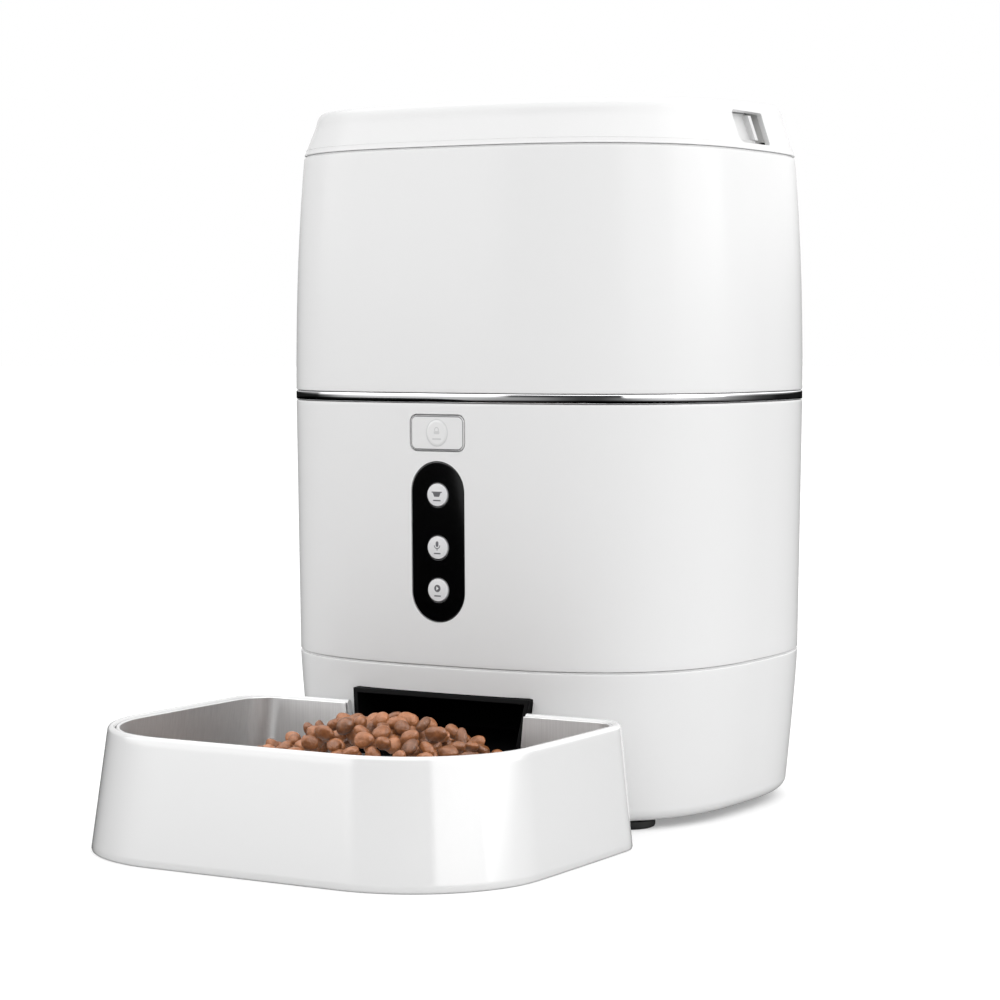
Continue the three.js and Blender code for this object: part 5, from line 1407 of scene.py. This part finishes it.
def studio_world():
    """White to the camera; a soft studio to everything else. Diffuse rays see a smooth sum over
    directions. Glossy rays see low cards round the object, with one leaning dark edge, that blend into
    tall cards and a ceiling."""
    world = bpy.data.worlds.new("Studio")
    bpy.context.scene.world = world
    world.use_nodes = True
    nodes, links = world.node_tree.nodes, world.node_tree.links
    nodes.clear()
    direction = nodes.new("ShaderNodeTexCoord").outputs["Generated"]
    split = nodes.new("ShaderNodeSeparateXYZ")
    links.new(direction, split.inputs[0])
    x, y, z = split.outputs
    minus_y = math_node(nodes, links, "MULTIPLY", y, -1.0)
    compass = math_node(nodes, links, "ARCTAN2", x, minus_y)
    turn = math_node(nodes, links, "MULTIPLY_ADD", compass, 1 / (2 * math.pi), 0.5)
    tall = ring_of_cards(nodes, links, turn, 5.6, TALL_CARDS)
    floor_level = ring_of_cards(nodes, links, turn, 1.0, LOW_CARDS)
    # Below z = -0.04 the low cards are dark to the left of a leaning edge, and lower down they fade.
    degrees = math_node(nodes, links, "MULTIPLY", compass, 180 / math.pi)
    slant = math_node(nodes, links, "MULTIPLY_ADD", z, 67.0, 35.0)
    past = math_node(nodes, links, "ADD", degrees, slant)
    lit_side = math_node(nodes, links, "MULTIPLY_ADD", past, 2.5, 0.5, clamp=True)
    above = math_node(nodes, links, "MULTIPLY_ADD", z, 400.0, 16.6, clamp=True)
    open_part = math_node(nodes, links, "MAXIMUM", lit_side, above)
    fall = math_node(nodes, links, "MULTIPLY_ADD", z, 14.0, 1.65, clamp=True)
    flag = math_node(nodes, links, "MULTIPLY",
                     math_node(nodes, links, "MULTIPLY_ADD", open_part, 0.97, 0.03), fall)
    foot = nodes.new("ShaderNodeMapRange")
    foot.interpolation_type = "SMOOTHSTEP"
    foot.inputs["From Min"].default_value, foot.inputs["From Max"].default_value = 0.0, 0.11
    links.new(z, foot.inputs["Value"])
    mixed = nodes.new("ShaderNodeMix")
    mixed.data_type = "FLOAT"
    links.new(foot.outputs["Result"], mixed.inputs["Factor"])
    links.new(math_node(nodes, links, "MULTIPLY", floor_level, flag), mixed.inputs["A"])
    links.new(tall, mixed.inputs["B"])
    cards = mixed.outputs["Result"]
    ceiling = nodes.new("ShaderNodeMapRange")
    ceiling.interpolation_type = "SMOOTHSTEP"
    ceiling.inputs["From Min"].default_value, ceiling.inputs["From Max"].default_value = 0.45, 0.8
    links.new(z, ceiling.inputs["Value"])
    blend = nodes.new("ShaderNodeMix")
    blend.data_type = "FLOAT"
    links.new(ceiling.outputs["Result"], blend.inputs["Factor"])
    links.new(cards, blend.inputs["A"])
    blend.inputs["B"].default_value = 2.6
    behind = math_node(nodes, links, "MULTIPLY_ADD", y, 0.6, math_node(nodes, links, "MULTIPLY", x, 0.8))
    side = math_node(nodes, links, "MULTIPLY_ADD", math_node(nodes, links, "MAXIMUM", behind, 0.0), 0.44,
                     0.68)
    upward = math_node(nodes, links, "MAXIMUM", z, 0.0)
    diffuse = math_node(nodes, links, "MULTIPLY_ADD", upward, 0.75, side)
    path = nodes.new("ShaderNodeLightPath")
    lit = nodes.new("ShaderNodeMix")
    lit.data_type = "FLOAT"
    links.new(path.outputs["Is Glossy Ray"], lit.inputs["Factor"])
    links.new(diffuse, lit.inputs["A"])
    links.new(blend.outputs["Result"], lit.inputs["B"])
    seen = nodes.new("ShaderNodeMix")
    seen.data_type = "FLOAT"
    links.new(path.outputs["Is Camera Ray"], seen.inputs["Factor"])
    links.new(lit.outputs["Result"], seen.inputs["A"])
    seen.inputs["B"].default_value = 1.0
    background = nodes.new("ShaderNodeBackground")
    background.inputs["Color"].default_value = (1, 1, 1, 1)
    links.new(seen.outputs["Result"], background.inputs["Strength"])
    out = nodes.new("ShaderNodeOutputWorld")
    links.new(background.outputs[0], out.inputs["Surface"])
    return world


class FEEDER_OT_stage(bpy.types.Operator):
    """Plain pale floor, soft studio light and the camera"""

    bl_idname = "feeder.stage"
    bl_label = "Floor, light and camera"

    def execute(self, context):
        scene = context.scene
        studio_world()
        a = np.linspace(0, 2 * math.pi, 97)
        r = np.concatenate([np.linspace(0, 1.2, 13), [2.0, 4.0, 8.0, 16.0]])
        points = np.stack([r[:, None] * np.cos(a), r[:, None] * np.sin(a), np.zeros((len(r), len(a)))],
                          axis=2)
        mesh = bpy.data.meshes.new("floor")
        mesh.from_pydata(points.reshape(-1, 3).tolist(), [], grid_faces(len(r), len(a))[:, ::-1].tolist())
        work = bmesh.new()
        work.from_mesh(mesh)
        bmesh.ops.remove_doubles(work, verts=work.verts, dist=1e-6)
        work.to_mesh(mesh)
        work.free()
        floor = bpy.data.objects.new("floor", mesh)
        scene.collection.objects.link(floor)
        material = plastic("Floor Paper", (0.72, 0.72, 0.72), 0.9, 0.05, 0.004, 60.0, 0.0,
                           **{"Specular IOR Level": 0.0})
        principled = material.node_tree.nodes["Principled BSDF"]
        principled.inputs["Emission Color"].default_value = (1, 1, 1, 1)
        floor_nodes, floor_links = material.node_tree.nodes, material.node_tree.links
        path = floor_nodes.new("ShaderNodeLightPath")
        camera_only = math_node(floor_nodes, floor_links, "MULTIPLY", path.outputs["Is Camera Ray"], 0.30)
        floor_links.new(camera_only, principled.inputs["Emission Strength"])
        mesh.materials.append(material)
        floor.visible_glossy = False
        camera = bpy.data.objects.new("camera", bpy.data.cameras.new("camera"))
        scene.collection.objects.link(camera)
        camera.data.sensor_width, camera.data.lens = 36.0, CAMERA_LENS
        camera.data.clip_start, camera.data.clip_end = 0.05, 60.0
        x, y, z = CAMERA_OFFSET
        camera.location = (x, CENTRE_Y + y, z)
        camera.rotation_mode = "QUATERNION"
        camera.rotation_quaternion = Vector(CAMERA_AIM).to_track_quat("-Z", "Y")
        scene.camera = camera
        scene.view_settings.view_transform = "Standard"
        scene.view_settings.look = "None"
        return {"FINISHED"}


class FEEDER_PT_panel(bpy.types.Panel):
    """Lists the feeder's operators and sizes"""

    bl_idname = "FEEDER_PT_panel"
    bl_label = "Pet Feeder"
    bl_space_type = "VIEW_3D"
    bl_region_type = "UI"
    bl_category = "Pet Feeder"

    def draw(self, context):
        for operator in OPERATORS:
            self.layout.operator(operator.bl_idname)
        for group in (context.scene.feeder_sizes, context.scene.feeder_colours):
            for key in group.bl_rna.properties.keys():
                if key not in ("rna_type", "name"):
                    self.layout.prop(group, key)


OPERATORS = (FEEDER_OT_base, FEEDER_OT_housing, FEEDER_OT_tank, FEEDER_OT_lid, FEEDER_OT_keys,
             FEEDER_OT_spout, FEEDER_OT_bowl,
             FEEDER_OT_food, FEEDER_OT_drive, FEEDER_OT_power, FEEDER_OT_electronics, FEEDER_OT_stage)
CLASSES = (FeederSizes, FeederColours, *OPERATORS, FEEDER_PT_panel)


def register():
    """Registers the classes and hangs the sizes and colours on the scene."""
    for cls in CLASSES:
        bpy.utils.register_class(cls)
    bpy.types.Scene.feeder_sizes = PointerProperty(type=FeederSizes)
    bpy.types.Scene.feeder_colours = PointerProperty(type=FeederColours)


def unregister():
    """Takes the classes and scene properties off again."""
    del bpy.types.Scene.feeder_sizes
    del bpy.types.Scene.feeder_colours
    for cls in reversed(CLASSES):
        bpy.utils.unregister_class(cls)


def main():
    register()
    for operator in (bpy.ops.feeder.base, bpy.ops.feeder.housing, bpy.ops.feeder.tank, bpy.ops.feeder.lid,
                     bpy.ops.feeder.keys,
                     bpy.ops.feeder.spout, bpy.ops.feeder.bowl, bpy.ops.feeder.food, bpy.ops.feeder.drive,
                     bpy.ops.feeder.power,
                     bpy.ops.feeder.electronics, bpy.ops.feeder.stage):
        operator()


if __name__ == "__main__":
    main()
